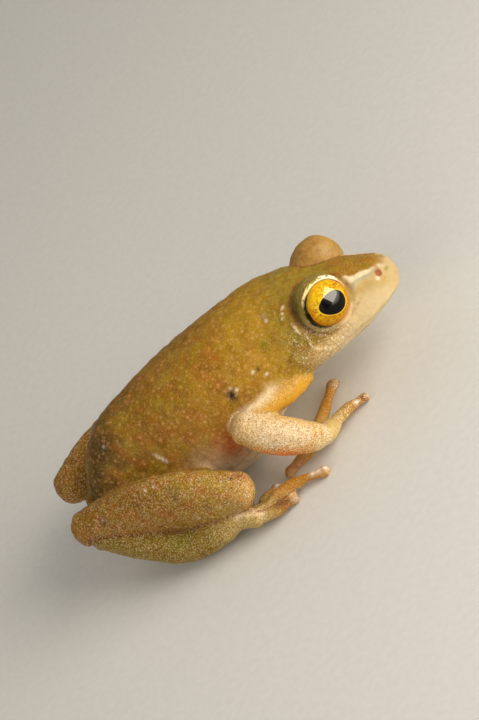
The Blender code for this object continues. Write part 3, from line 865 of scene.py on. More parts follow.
EAR_FOLD = ((-7.4, -4.2, 2.6), (-8.8, -5.0, 1.9), (-10.2, -5.3, 0.6), (-11.2, -4.9, -1.0))
LIP_LENGTH = 8.6
LIP_DROOP = 0.075
LINE_REACH = 1.5


def line_gap(points, line, count=40):
    """Distance to a smooth line through places near the skin, once each is moved to the nearest vertex."""
    path = resample(line, count)
    low, high = path.min(0) - LINE_REACH, path.max(0) + LINE_REACH
    near = np.nonzero(((points > low) & (points < high)).all(1))[0]
    apart = np.linalg.norm(points[near, None] - path[None], axis=2)
    path = points[near][apart.argmin(0)]
    apart = np.linalg.norm(points[near, None] - path[None], axis=2)
    gap, along = np.full(len(points), LINE_REACH), np.zeros(len(points))
    gap[near] = np.minimum(apart.min(1), LINE_REACH)
    along[near] = apart.argmin(1) / (count - 1)
    return gap, along


def seen_gap(local, line):
    """Distance to a line of the head as the photographer sees it, near the line's own depth."""
    back = HEAD_TURN.T @ np.array(CAMERA_BACK)
    path = resample(line, 60)
    low, high = path.min(0) - LINE_REACH, path.max(0) + LINE_REACH
    near = np.nonzero(((local > low) & (local < high)).all(1))[0]
    away = local[near, None] - path[None]
    away = away - (away @ back)[..., None] * back
    apart = np.linalg.norm(away, axis=2)
    gap, along = np.full(len(local), LINE_REACH), np.zeros(len(local))
    gap[near], along[near] = apart.min(1), apart.argmin(1) / (len(path) - 1)
    return gap, along


def nearest_line(points, lines, side):
    """Distance to the nearest of several lines of the head, on the right (-1) or left (1) side."""
    flip = np.array([1, -side, 1])
    return np.min([line_gap(points, np.array(line) * flip, 60)[0] for line in lines], axis=0)


def fine_forms(points):
    """Height in mm to add along the normal: nostrils, lips, brow ridge, lore hollow and folds."""
    local = to_head(points)
    near = local[:, 0] > -13
    height = np.zeros(len(points))
    close = local[near]
    rise = np.zeros(len(close))
    for side in (-1, 1):
        gap = np.linalg.norm(close - mirrored(NOSTRIL, side), axis=1)
        rise += 0.05 * bell(gap - 0.42, 0.14) - 0.20 * bell(gap, 0.24)
        flip = np.array([1, -side, 1])
        gap, along = line_gap(close, np.array(CANTHUS) * flip)
        rise += 0.08 * bell(gap, 0.28)
        gap, along = line_gap(close, np.array(SLATE_LINE) * flip)
        rise -= 0.06 * bell(gap, 0.22)
        gap = np.linalg.norm((close - mirrored((-2.3, -2.75, 1.75), side)) * [0.6, 1, 1], axis=1)
        rise -= 0.10 * bell(gap, 0.8)
        rise -= 0.05 * bell(nearest_line(close, EYE_FOLDS, side), 0.12)
        gap = nearest_line(close, PALE_AND_LIT_FOLDS, side)
        rise += 0.06 * bell(gap, 0.13) - 0.04 * bell(gap - 0.32, 0.14)
        gap, along = line_gap(close, np.array(EAR_FOLD) * flip)
        fade = ramp(along, 0.0, 0.2) * (1 - ramp(along, 0.75, 1.0))
        rise += fade * (0.04 * bell(gap - 0.44, 0.28) - 0.09 * bell(gap, 0.22))
    above_lip = close[:, 2] - MOUTH_Z - LIP_DROOP * close[:, 0]
    lip = bell(above_lip, 0.10)
    open_part = ramp(close[:, 0], -LIP_LENGTH, -LIP_LENGTH + 1.5)
    rise -= 0.11 * lip * open_part
    rise += 0.03 * bell(above_lip - 0.32, 0.2) * open_part
    rise -= 0.05 * (1 - ramp(above_lip, -0.25, 0.0)) * open_part
    height[near] = rise
    height -= 0.16 * meeting(points, "shank", "foot", 0.16) + 0.10 * between_digits(points)
    for side in (-1, 1):
        reach, off, turn, centre = about_eye(points, side)
        apart = (reach < 3.6) * ramp(off, 60, 85)
        height -= 0.13 * apart * bell(orbit_gap(points, side) - 0.13, 0.16)
    return height


points = points_of(skin_mesh)
normal = normals_of(skin_mesh)
points = points + (fine_forms(points) - SKIN_INSET)[:, None] * normal
print("fine forms pressed")


# %% Soft unevenness of living skin
def ripple(points, size, seed, waves=22):
    """Smooth noise: the mean of sine waves in seeded random directions, about size mm long."""
    rng = np.random.default_rng(seed)
    way = unit(rng.normal(size=(waves, 3))) * (2 * math.pi / size)
    way *= rng.uniform(0.6, 1.5, size=(waves, 1))
    shift = rng.uniform(0, 2 * math.pi, waves)
    return np.sin(points @ way.T + shift).sum(1) / math.sqrt(waves / 2)


def eye_zone(points):
    """1 on the eyeball side of each lid, fading to 0 on the ring of skin."""
    zone = np.zeros(len(points))
    for side in (-1, 1):
        reach, off, turn, centre = about_eye(points, side)
        inside = 1 - ramp(off - lid_edge(turn, side), 4, 16)
        zone = np.maximum(zone, (1 - ramp(reach, 2.32, 2.5)) * inside)
    return zone


# Each ripple has a length in mm, a seed, a depth in mm, and how much the digits calm it.
RIPPLES = ((1.3, 3, 0.022, 0.7), (0.5, 4, 0.012, 0.8))
BOX_MARGIN = 0.01
quiet = 1 - eye_zone(points)
digit = belongs(points, "finger", "toe", "hand")
quiet = quiet * (1 - 0.55 * ramp(to_head(points)[:, 0], -9.0, -5.0))
for size, seed, depth, calm in RIPPLES:
    height = quiet * (1 - calm * digit) * depth * np.clip(ripple(points, size, seed), -2, 2)
    points = points - height[:, None] * normal
lowest = np.array(cad_box[0]) / MM - SHIFT + [BOX_MARGIN, BOX_MARGIN, 0.0]
points = np.clip(points, lowest, np.array(cad_box[1]) / MM - SHIFT - BOX_MARGIN)
set_points(skin_mesh, points)
print("lowest point", points[:, 2].min())

# %% [markdown]
# ## Where each colour lies
# A frog's colours follow its body: cream along the lips and the brow, gold on the back, red
# in the folds of the legs. Some of the washes are painted light and shade: shade in creases,
# hollows and towards the rear, light on the nape and where limbs face the camera. We lay
# them on as washes, one over another. Each wash has one colour and a mask, and each mask
# is a formula of where a point is on the frog.

# %% Washes of colour
BACK = "#97700C"
BACK_REAR_SHADE = "#604608"
OCHRE = "#A08618"
ORANGE = "#A56218"
LIME = "#8E880C"
NAPE_LIT = "#B28E18"
CREAM = "#D2BE94"
CHEEK = "#D2B070"
PEACH = "#CBB282"
STRIPE = "#FDEAC4"
SLATE = "#A4AA94"
OLIVE = "#8C8626"
BELLY = "#FCE6C2"
BLUSH = "#C4642A"
ARM = "#DDB872"
ARM_GOLD = "#D4A64E"
ARM_INNER = "#DBA00C"
ARM_EDGE = "#F07C1C"
WRIST = "#E6D2A4"
HAND = "#DABE7C"
DIGIT = "#B47E24"
DISC = "#D2B482"
SHANK = "#946C10"
SHANK_GOLD = "#A88628"
KNEE = "#CDA45C"
FOOT = "#8A7420"
FOOT_PALE = "#C2A868"
# Dark red of the leg's folds, also laid as painted shade in creases and hollows.
CREASE_RED_AND_SHADE = "#7A2E0C"
LID = "#98883A"
LID_DARK = "#4A4A16"
LID_PALE = "#BAAA72"
LID_EDGE = "#FFE8A6"
LID_RIM_AND_SHADOW = "#120D05"
FAR_LID = "#BC9048"
FAR_LID_HIGHLIGHT = (10.45, 1.48, 9.01)
NOSTRIL_RED = "#96583A"
WHITE = "#FFF4E0"
GOLD_SIDE = "#BC9644"
GOLD_FOLD_SHADE = "#A87E2C"
HEAD_TOP = "#9C8826"
ARM_LIT_PALE = "#E6D0AA"
NOSTRIL_PINK = "#C07C4C"
FRONT_RIM = "#C8843C"


def linear(code):
    """sRGB hex to linear red, green and blue."""
    value = np.array([int(code[k : k + 2], 16) for k in (1, 3, 5)]) / 255
    return np.where(value <= 0.04045, value / 12.92, ((value + 0.055) / 1.055) ** 2.4)


def wash(paint, code, mask):
    """Lays a colour over the paint by a mask from 0 to 1."""
    mask = np.clip(mask, 0, 1)[:, None]
    return paint * (1 - mask) + linear(code) * mask


def spot(points, centre, width):
    """A soft ball round a place: the bell curve of the distance."""
    return bell(np.linalg.norm(points - np.array(centre), axis=1), width)


points = points_of(skin_mesh)
normal = normals_of(skin_mesh)
edges = edges_of(skin_mesh)
local = to_head(points)
x, y, z = points.T
hx, hz = local[:, 0], local[:, 2]
on_head = ramp(hx, -10.5, -8.5)
hollow = spread(np.clip((pull(points, edges) * normal).sum(1), 0, 0.05) / 0.05, edges, 3)
upper_arm = belongs(points, "upper_arm", start=-0.10, reach=0.28)
forearm = belongs(points, "forearm", start=0.0, reach=0.25)
arm = np.maximum(upper_arm, forearm)
hand = belongs(points, "hand", start=0.0)
finger = belongs(points, "finger", reach=0.2)
toe = belongs(points, "toe", reach=0.2)
thigh = belongs(points, "thigh", start=0.0)
shank = belongs(points, "shank", start=0.0)
foot = belongs(points, "foot", start=0.0) * (outside(points, "foot") < outside(points, "shank"))
foot = np.clip(spread(foot, edges, 3), 0, 1)
limb = np.maximum.reduce([arm, hand, finger, toe, thigh, shank, foot])
mottle = ripple(points, 2.6, 11)
patch = ripple(points, 1.2, 12)
broad = ripple(points, 6.0, 13)
under = ramp(-normal[:, 2], -0.10, 0.65) * (1 - limb)

paint = np.tile(linear(BACK), (len(points), 1))
# Painted shade: the back darkens towards the rear, where the light falls off.
paint = wash(paint, BACK_REAR_SHADE, 0.80 * (1 - ramp(x, -15, -4)))
paint = wash(paint, OCHRE, 0.5 * ramp(mottle, -0.2, 1.2))
warm = 0.42 * ramp(patch, -0.1, 1.5) + 0.22 * ramp(broad, -0.2, 1.0) * ramp(x, -14, -6)
paint = wash(paint, ORANGE, warm)
paint = wash(paint, LIME, 0.32 * ramp(-broad, -0.2, 0.9) * ramp(0.75 - normal[:, 2], -0.1, 0.6))
# Painted light: the nape is a lighter gold, standing in for the light that falls on the front of the back.
paint = wash(paint, NAPE_LIT, 0.7 * ramp(x, -3, 3) * (1 - on_head))
paint = wash(paint, BELLY, under * (1 - on_head))
paint = wash(paint, BELLY, 0.8 * spot(points, (-7.2, -4.8, 4.4), 1.8) * (1 - limb))
paint = wash(paint, BLUSH, 0.85 * spot(points, (-4.7, -5.0, 5.3), 1.5) * (1 - limb))
paint = wash(paint, BLUSH, 0.5 * spot(points, (-4.9, 5.6, 4.6), 1.4) * (1 - limb))
print("trunk washed")

# %% Washes of the head
BROW_ALONG = (-9.5, -7.8, -5.7, -3.9, -3.3, -1.6, -0.6, 0.0)
BROW_HEIGHT = (0.9, 0.8, 0.7, 1.9, 2.85, 2.40, 1.95, 2.1)
brow = np.interp(hx, BROW_ALONG, BROW_HEIGHT)
lore = on_head * (1 - ramp(hz, brow - 0.30, brow + 0.20))
paint = wash(paint, HEAD_TOP, 0.8 * on_head)
warm = 0.30 * ramp(patch, 0.0, 1.4) + 0.35 * ramp(hx, -5.5, -3.0)
paint = wash(paint, ORANGE, on_head * (1 - lore) * warm)
paint = wash(paint, CHEEK, 0.9 * lore * ramp(hx, -9.8, -7.2))
paint = wash(paint, CREAM, 0.9 * lore * ramp(hx, -7.8, -4.8))
paint = wash(paint, OCHRE, 0.35 * lore * bell(hz - brow + 0.85, 0.40) * ramp(hx, -3.6, -2.6))
paint = wash(paint, CREAM, 0.7 * on_head * (1 - ramp(hz, -0.6, 0.3)) * ramp(hx, -9.5, -6.5))
paint = wash(paint, PEACH, 0.9 * ramp(hx, -1.1, -0.2) * (1 - ramp(hz, 2.0, 2.7)))
for side in (-1, 1):
    flip = np.array([1, -side, 1])
    gap, along = line_gap(local, np.array(CANTHUS) * flip)
    half = 0.30 - 0.19 * along
    fade = 1 - 0.85 * ramp(along, 0.62, 0.86)
    paint = wash(paint, STRIPE, 0.95 * fade * (1 - ramp(gap, half - 0.10, half + 0.12)))
    gap, along = line_gap(local, np.array(SLATE_LINE) * flip)
    paint = wash(paint, SLATE, 0.80 * bell(gap, 0.13))
    gap, along = line_gap(local, np.array(GOLD_BAND) * flip)
    paint = wash(paint, GOLD_SIDE, 0.5 * bell(gap, 0.34))
    paint = wash(paint, OLIVE, 0.8 * bell(nearest_line(local, [EYE_CORNER], side), 0.20))
    # Painted shade: broken darker gold along the fold before the eye, drawn where the camera sees the fold.
    gap, along = seen_gap(local * flip, LORE_FOLD)
    patchy = bell(along - 0.5, 0.45) * ramp(ripple(local, 0.35, 32), -1.6, 0.6)
    paint = wash(paint, GOLD_FOLD_SHADE, 0.65 * on_head * patchy * bell(gap, 0.085))
    # Pale raised folds behind and below the eye, pale partly as painted highlight along their ridges.
    broken = ramp(ripple(local, 0.4, 31), -0.8, 0.5)
    paint = wash(paint, STRIPE, 0.85 * broken * bell(nearest_line(local, PALE_AND_LIT_FOLDS, side), 0.10))
    gap = np.linalg.norm(local - mirrored(NOSTRIL, side), axis=1)
    paint = wash(paint, GOLD_SIDE, 0.45 * bell(gap, 0.60))
    # Painted highlights: two white spots, above and below the nostril.
    paint = wash(paint, WHITE, 0.95 * spot(local, mirrored((-0.80, -0.98, 2.09), side), 0.22))
    paint = wash(paint, WHITE, 0.90 * spot(local, mirrored((-1.20, -1.87, 1.66), side), 0.17))
    for place in ((-0.43, -1.06, 1.63), (-0.30, -0.90, 1.62)):
        paint = wash(paint, OLIVE, 0.7 * spot(local, mirrored(place, side), 0.16))
    paint = wash(paint, NOSTRIL_RED, 0.95 * (1 - ramp(gap, 0.30, 0.43)))
    paint = wash(paint, NOSTRIL_PINK, 0.85 * (1 - ramp(gap, 0.08, 0.22)))
    reach, off, turn, centre = about_eye(points, side)
    past = off - lid_edge(turn, side)
    close_by = 1 - ramp(reach, 2.32, 2.46)
    ring = (reach < 3.2) * ramp(past, -3, 1) * (1 - ramp(orbit_gap(points, side), 0.0, 0.22))
    ring = ring * (1 - ramp(np.cos(turn - 2.75), 0.55, 0.90))
    above = ramp(np.cos(turn - 0.4), -0.05, 0.6)
    behind = ramp(-np.sin(turn), 0.1, 0.9)
    paint = wash(paint, LID, 0.95 * ring)
    paint = wash(paint, LID_DARK, 0.85 * ring * behind * ramp(past, 13, 26))
    below = ramp(np.cos(turn + 2.5), 0.1, 0.8)
    paint = wash(paint, LID_PALE, 0.75 * ring * below * (1 - ramp(past, 16, 30)))
    if side > 0:
        paint = wash(paint, FAR_LID, 0.85 * ring * ramp(normal[:, 2], 0.0, 0.55))
        # Painted highlight: a peach patch on top of the far eye's dome.
        paint = wash(paint, PEACH, 0.55 * spot(points, FAR_LID_HIGHLIGHT, 0.75))
    ragged = ramp(0.6 * ripple(points, 0.26, 21) + 0.8 * ripple(points, 0.8, 22), -1.0, 1.0)
    frill = close_by * (1 - ramp(past, 2 + 7 * ragged * above, 4 + 8 * ragged * above)) * (side < 0)
    paint = wash(paint, LID_EDGE, frill * (0.15 + 0.85 * above))
    paint = wash(paint, WHITE, 0.7 * frill * ramp(np.cos(turn - 0.9), 0.7, 0.95))
    rim_orange = (1 - ramp(reach, 2.12, 2.24)) * ramp(np.cos(turn - 2.4), 0.2, 0.7)
    paint = wash(paint, FRONT_RIM, 0.6 * rim_orange)
    # A black band round the eye's opening: partly the eye's own dark rim, partly painted shadow under the
    # lid's edge and in the gap to the eyeball.
    wedge = 0.8 * ramp(np.cos(turn + 1.35), 0.35, 0.95) + 0.35 * ramp(np.cos(turn + 2.0), 0.72, 0.98)
    wedge = wedge * (0.6 + 0.4 * ragged)
    front = ramp(np.cos(turn - 2.75), 0.3, 0.9)
    rim_dark_and_shadow = close_by * (1 - ramp(past, 4.0 * wedge - 4.0 * front, 1.8 + 8.5 * wedge - 3.6 * front))
    paint = wash(paint, LID_RIM_AND_SHADOW, rim_dark_and_shadow)
    # Painted shade: dark red in the crease where the ring of skin round the eye meets the head.
    rift_shade = (reach < 3.6) * ramp(off, 60, 85) * bell(orbit_gap(points, side) - 0.13, 0.16)
    paint = wash(paint, CREASE_RED_AND_SHADE, 0.6 * rift_shade)
print("head washed")

# %% Washes of the limbs
ARM_FOLD_AND_HIGHLIGHT = (
    (1.46, -5.21, 6.53),
    (0.45, -5.31, 7.00),
    (-0.38, -5.82, 7.20),
    (-1.60, -6.09, 7.49),
    (-2.42, -5.80, 7.45),
)
WRIST_LINES = (
    ((1.02, -7.30, 3.60), (1.10, -7.72, 3.51), (0.80, -8.41, 3.32), (0.44, -8.68, 2.89)),
    ((1.30, -7.20, 3.20), (1.35, -7.70, 3.05), (1.10, -8.30, 2.80), (0.80, -8.50, 2.50)),
)
INSTEP = ((-8.3, -8.8, 2.45), (-7.91, -8.94, 2.37), (-7.03, -9.33, 2.11), (-6.56, -9.59, 1.53))
down = -normal[:, 2]
near_elbow = spot(points, (-3.0, -6.9, 6.6), 1.8) + spot(points, (-2.8, 7.2, 5.6), 1.8)
paint = wash(paint, ARM_GOLD, upper_arm)
paint = wash(paint, ARM_INNER, 0.9 * upper_arm * ramp(down, -0.75, -0.05))
# Painted light: the forearm is paler where it faces the camera and stays gold at its edges, as if lit from
# the front.
facing_camera = normal @ unit((0.10, -0.84, 0.53))
paint = wash(paint, ARM, forearm)
paint = wash(paint, ARM_LIT_PALE, 0.9 * forearm * ramp(facing_camera, 0.35, 0.92))
paint = wash(paint, ARM_GOLD, 0.6 * forearm * spot(points, (-1.6, -5.9, 5.6), 1.1))
paint = wash(paint, ARM_GOLD, 0.5 * forearm * ramp(spot(points, (-3.4, -7.1, 6.6), 1.4), 0.2, 0.9))
paint = wash(paint, ARM_GOLD, 0.7 * forearm * ramp(down, -0.25, 0.25))
paint = wash(paint, ARM_EDGE, 0.95 * forearm * ramp(down, -0.2, 0.4) * bell(x + 2.2, 1.3))
# A pale line along the top of the upper arm: a fold of skin with a painted highlight on it.
gap, along = line_gap(points, ARM_FOLD_AND_HIGHLIGHT)
paint = wash(paint, STRIPE, 0.85 * bell(gap, 0.42) * ramp(along, 0.0, 0.3))
paint = wash(paint, SHANK, np.maximum(shank, thigh))
paint = wash(paint, SHANK_GOLD, 0.8 * shank * ramp(x, -13, -8))
paint = wash(paint, LIME, 0.14 * shank * ramp(-broad, -0.2, 1))
paint = wash(paint, ORANGE, 0.55 * shank * ramp(patch, -0.3, 1.4))
paint = wash(paint, FOOT, foot)
paint = wash(paint, FOOT_PALE, 0.8 * foot * ramp(x, -11.5, -8.5))
kneecap = spot(points, (-5.9, -9.0, 3.6), 1.5) + spot(points, (-5.5, 9.2, 3.4), 1.5)
paint = wash(paint, KNEE, 0.8 * shank * kneecap)
paint = wash(paint, HAND, hand)
paint = wash(paint, WRIST, 0.8 * hand * forearm)
paint = wash(paint, FOOT_PALE, 0.7 * toe)
toe_end = toe * ramp(outside(points, "foot"), 0.1, 2.4)
paint = wash(paint, DIGIT, np.maximum(finger, toe_end))
gap, along = line_gap(points, INSTEP)
paint = wash(paint, STRIPE, 0.7 * bell(gap, 0.26))
paint = wash(paint, HAND, 0.8 * finger * spot(points, (2.2, -6.3, 1.3), 1.4))
gap = np.minimum(*[line_gap(points, line)[0] for line in WRIST_LINES])
paint = wash(paint, ARM_GOLD, 0.8 * bell(gap, 0.10))
near_tip = np.zeros(len(points))
for digit in RIGHT_FINGERS + RIGHT_TOES + LEFT_FINGERS + LEFT_TOES:
    near_tip = np.maximum(near_tip, spot(points, digit[2], 0.62))
paint = wash(paint, DISC, 0.6 * near_tip)
# Painted shade: dark red in every hollow of the skin, away from the head and the discs.
paint = wash(paint, CREASE_RED_AND_SHADE, 0.6 * hollow * (1 - on_head) * (1 - near_tip))
# The red line where shank meets foot is the frog's own colour deepened as painted shade; the dark red
# between close digits is painted shade.
paint = wash(paint, CREASE_RED_AND_SHADE, 0.9 * meeting(points, "shank", "foot", 0.10) + 0.8 * between_digits(points))
digits = np.maximum(finger, toe)
ring_any = eye_zone(points)
print("limbs washed")

# %% The small marks of this one frog, with painted highlights and shade among them
PALE_STREAK_AND_GLINT = ((-10.0, -3.64, 8.70), (-9.80, -3.85, 8.11), (-9.63, -4.06, 7.47))
for code, size, strength, places in MARKS:
    for place in places:
        paint = wash(paint, code, strength * spot(points, place, size))
# A short white streak on the flank: a pale fold with a painted highlight on it.
gap, along = line_gap(points, PALE_STREAK_AND_GLINT)
paint = wash(paint, WHITE, 0.9 * bell(gap, 0.12) * ramp(along, -0.3, 0.6))
print("marks", sum(len(mark[3]) for mark in MARKS))

# %% Keep the washes on the mesh
cheek = on_head * (1 - ramp(np.abs(hx + 7.4), 1.6, 3.6)) * (1 - ramp(hz, 1.8, 3.2))
knee = spot(points, (-6.6, -8.6, 3.6), 2.4) + spot(points, (-6.2, 8.8, 3.4), 2.4)
leg = np.maximum(shank, foot)
grain = 0.18 + 0.70 * forearm + 0.40 * upper_arm * ramp(-down, -0.1, 0.5)
grain += 0.45 * shank + 0.50 * foot + 0.4 * cheek + 0.25 * digits
grain = np.clip(grain - 0.2 * under - 0.2 * lore * (1 - cheek) - 0.3 * ring_any, 0, 1)
speck = 0.15 + 0.5 * near_elbow + 0.45 * knee * shank + 0.25 * leg
speck = np.clip(speck - 0.4 * lore - 0.4 * under, 0, 1)
pebble = 0.36 + 0.35 * under + 0.25 * cheek - 0.25 * arm - 0.25 * digits - 0.40 * ring_any
pebble = np.clip(pebble - 0.25 * lore * ramp(hx, -4.0, -2.0), 0, 1)
# Painted highlights: glint sets white spots in the skin's colour, and also a thicker wet coat.
glint = 0.10 + 0.9 * cheek + 0.5 * knee * shank + 0.25 * shank + 0.6 * near_tip + 0.5 * forearm
glint = np.clip(glint - 0.3 * ring_any, 0, 1)
cloudy = np.clip(1.0 - 0.7 * lore - 0.75 * arm - 0.8 * ring_any - 0.4 * digits, 0, 1)
knob = 0.85 - 0.55 * on_head - 0.6 * limb + 0.35 * np.maximum(shank, thigh)
knob = np.clip(knob - 0.7 * lore - 0.6 * ring_any - 0.5 * under, 0, 1)
NUMBERS = {"grain": grain, "speck": speck, "pebble": pebble, "glint": glint, "cloudy": cloudy, "knob": knob}


def keep_number(mesh, name, values):
    """Stores one number for each vertex under a name that materials read."""
    layer = mesh.attributes.new(name, "FLOAT", "POINT")
    layer.data.foreach_set("value", np.asarray(values, float))


def keep_colour(mesh, name, values):
    """Stores one linear colour for each vertex."""
    layer = mesh.attributes.new(name, "FLOAT_COLOR", "POINT")
    layer.data.foreach_set("color", np.column_stack([values, np.ones(len(values))]).ravel())


keep_colour(skin_mesh, "paint", np.clip(paint, 0, 1))
for name, values in NUMBERS.items():
    keep_number(skin_mesh, name, values)
print("attributes", list(NUMBERS))

# %% [markdown]
# ## Skin as a material
# Frog skin is thin, wet and pebbled, with gold cells under a clear slime coat. It has a soft
# body colour, a little light passing through it, and sharp small highlights from the wet
# film, joined by painted white glints and painted shade between the granules. We could
# paint an image, but patterns worked out in space have no seams and stay
# sharp at any size, so the grain and specks here are noises with sizes in millimetres.

# %% One helper to add a node
SMOOTH = {"interpolation_type": "SMOOTHSTEP"}
BLEND = {"data_type": "RGBA"}
TINT = {"data_type": "RGBA", "blend_type": "MULTIPLY"}
TIMES = {"operation": "MULTIPLY"}
MIXED = 2


def add(tree, kind, settings=None, out=0, **links):
    """Adds a node with its settings and links, and gives back one of its outputs.

    A link is named for its input, or i and the input's number, and its value is a socket, a
    number or a tuple.
    """
    node = tree.nodes.new(kind)
    for name, value in (settings or {}).items():
        setattr(node, name, value)
    for name, value in links.items():
        key = int(name[1:]) if name[1:].isdigit() else name.replace("_", " ")
        if isinstance(value, bpy.types.NodeSocket):
            tree.links.new(value, node.inputs[key])
        else:
            node.inputs[key].default_value = value
    return node.outputs[out]


def blank_material(name):
    """A material with a Principled shader and nothing else."""
    made = bpy.data.materials.new(name)
    made.use_nodes = True
    return made, made.node_tree, made.node_tree.nodes["Principled BSDF"]


def per_mm(size):
    """Texture scale for a pattern whose cells are size millimetres, on coordinates in metres."""
    return 1.0 / (size * MM)


def colour(code):
    """sRGB hex as a linear colour with alpha, for a socket."""
    return (*[float(c) for c in linear(code)], 1.0)


# %% Frog skin
CLOUD_SIZE = 0.9
GRANULE_SIZE = 0.30
SAND_SIZE = 0.115
SPOTS = (
    ("knob", 0.46, 0.00, 0.04, 0.46, 0.50, "#DCA868"),
    ("grain", 0.20, 0.46, 0.14, 0.36, 0.62, "#6E3E10"),
    ("speck", 0.30, 0.55, 0.14, 0.32, 0.90, "#3A2408"),
    # The glint row paints white spots as highlights of the wet skin.
    ("glint", 0.23, 0.50, 0.14, 0.36, 0.80, "#FFF6E8"),
)


def frog_skin():
    """Wet amphibian skin: washes, clouding, pale granules, fine sand, pins and painted white glints."""
    made, tree, shader = blank_material("wet frog skin")
    where = add(tree, "ShaderNodeTexCoord", out="Object")
    base = add(tree, "ShaderNodeAttribute", {"attribute_name": "paint"})
    amount = {}
    for name in NUMBERS:
        amount[name] = add(tree, "ShaderNodeAttribute", {"attribute_name": name}, out="Fac")

    # Soft clouds darken the skin in some places and gild it in others.
    cloud = add(
        tree, "ShaderNodeTexNoise", Vector=where, Scale=per_mm(CLOUD_SIZE), Detail=5.0, Roughness=0.65
    )
    dark = add(tree, "ShaderNodeMix", TINT, MIXED, i0=1.0, i6=base, i7=colour("#CFAE84"))
    light = add(tree, "ShaderNodeMix", BLEND, MIXED, i0=0.30, i6=base, i7=colour("#E2BC40"))
    clouds = ((dark, 0.30, 0.52, 0.55, 0.0), (light, 0.52, 0.75, 0.0, 0.45))
    for other, low, high, to_low, to_high in clouds:
        thick = add(
            tree,
            "ShaderNodeMapRange",
            SMOOTH,
            Value=cloud,
            From_Min=low,
            From_Max=high,
            To_Min=to_low,
            To_Max=to_high,
        )
        share = add(tree, "ShaderNodeMath", TIMES, i0=thick, i1=amount["cloudy"])
        base = add(tree, "ShaderNodeMix", BLEND, MIXED, i0=share, i6=base, i7=other)

    # Granules are low round bumps, brown in the gaps between them and gold on top; the brown is partly
    # painted shade in the gaps, the gold partly painted light on the tops.
    granules = add(
        tree,
        "ShaderNodeTexVoronoi",
        out="Distance",
        Vector=where,
        Scale=per_mm(GRANULE_SIZE),
        Randomness=1.0,
    )
    gap = add(
        tree, "ShaderNodeMapRange", SMOOTH, Value=granules, From_Min=0.45, From_Max=0.80, To_Max=0.30
    )
    granule = add(
        tree,
        "ShaderNodeMapRange",
        SMOOTH,
        Value=granules,
        From_Min=0.08,
        From_Max=0.50,
        To_Min=1.0,
        To_Max=0.0,
    )
    bump_height = add(tree, "ShaderNodeMath", TIMES, i0=granule, i1=amount["pebble"])
    share = add(tree, "ShaderNodeMath", TIMES, i0=gap, i1=amount["pebble"])
    base = add(tree, "ShaderNodeMix", BLEND, MIXED, i0=share, i6=base, i7=colour("#80501A"))
    share = add(tree, "ShaderNodeMath", TIMES, i0=bump_height, i1=0.24)
    base = add(tree, "ShaderNodeMix", BLEND, MIXED, i0=share, i6=base, i7=colour("#E8C264"))

    # Fine sand lies over the granules, brown where the noise is high and pale where it is low.
    sand = add(tree, "ShaderNodeTexNoise", Vector=where, Scale=per_mm(SAND_SIZE), Detail=1.0)
    browner = add(tree, "ShaderNodeMix", TINT, MIXED, i0=1.0, i6=base, i7=colour("#B8823A"))
    some = add(tree, "ShaderNodeMapRange", SMOOTH, Value=sand, From_Min=0.50, From_Max=0.62, To_Max=0.55)
    share = add(tree, "ShaderNodeMath", TIMES, i0=some, i1=amount["grain"])
    base = add(tree, "ShaderNodeMix", BLEND, MIXED, i0=share, i6=base, i7=browner)
    some = add(
        tree,
        "ShaderNodeMapRange",
        SMOOTH,
        Value=sand,
        From_Min=0.36,
        From_Max=0.48,
        To_Min=0.40,
        To_Max=0.0,
    )
    share = add(tree, "ShaderNodeMath", TIMES, i0=some, i1=amount["grain"])
    base = add(tree, "ShaderNodeMix", BLEND, MIXED, i0=share, i6=base, i7=colour("#FFF0CC"))

    for name, size, rarity, inner, outer, strength, code in SPOTS:
        scale = per_mm(size)
        dot = add(tree, "ShaderNodeTexVoronoi", out="Distance", Vector=where, Scale=scale, Randomness=1.0)
        chance = add(tree, "ShaderNodeSeparateColor", Color=dot.node.outputs["Color"])
        near = add(
            tree,
            "ShaderNodeMapRange",
            SMOOTH,
            Value=dot,
            From_Min=inner,
            From_Max=outer,
            To_Min=strength,
            To_Max=0.0,
        )
        common = rarity + 0.12
        some = add(tree, "ShaderNodeMapRange", SMOOTH, Value=chance, From_Min=rarity, From_Max=common)
        share = add(tree, "ShaderNodeMath", TIMES, i0=near, i1=some)
        share = add(tree, "ShaderNodeMath", TIMES, i0=share, i1=amount[name])
        base = add(tree, "ShaderNodeMix", BLEND, MIXED, i0=share, i6=base, i7=colour(code))
    tree.links.new(base, shader.inputs["Base Color"])

    # Granules and sand stand out a little, so that the wet film breaks into small highlights.
    relief = add(
        tree, "ShaderNodeMath", {"operation": "MULTIPLY_ADD"}, i0=sand, i1=0.45, i2=bump_height
    )
    bump = add(tree, "ShaderNodeBump", Height=relief, Strength=0.8, Distance=0.06 * MM)
    tree.links.new(bump, shader.inputs["Normal"])
    rough = add(
        tree,
        "ShaderNodeMapRange",
        SMOOTH,
        Value=cloud,
        From_Min=0.3,
        From_Max=0.7,
        To_Min=0.55,
        To_Max=0.42,
    )
    tree.links.new(rough, shader.inputs["Roughness"])
    wet = add(tree, "ShaderNodeMath", {"operation": "MULTIPLY_ADD"}, i0=amount["glint"], i1=0.45, i2=0.03)
    tree.links.new(wet, shader.inputs["Coat Weight"])
    shader.inputs["Specular IOR Level"].default_value = 0.12
    shader.inputs["Coat Roughness"].default_value = 0.12
    shader.inputs["Coat IOR"].default_value = 1.36
    shader.inputs["Subsurface Weight"].default_value = 0.10
    shader.inputs["Subsurface Radius"].default_value = (1.0, 0.45, 0.18)
    shader.inputs["Subsurface Scale"].default_value = 0.30 * MM
    return made


def to_frame(points):
    """Points of the frog's frame in millimetres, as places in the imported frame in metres."""
    return (points + SHIFT) * MM


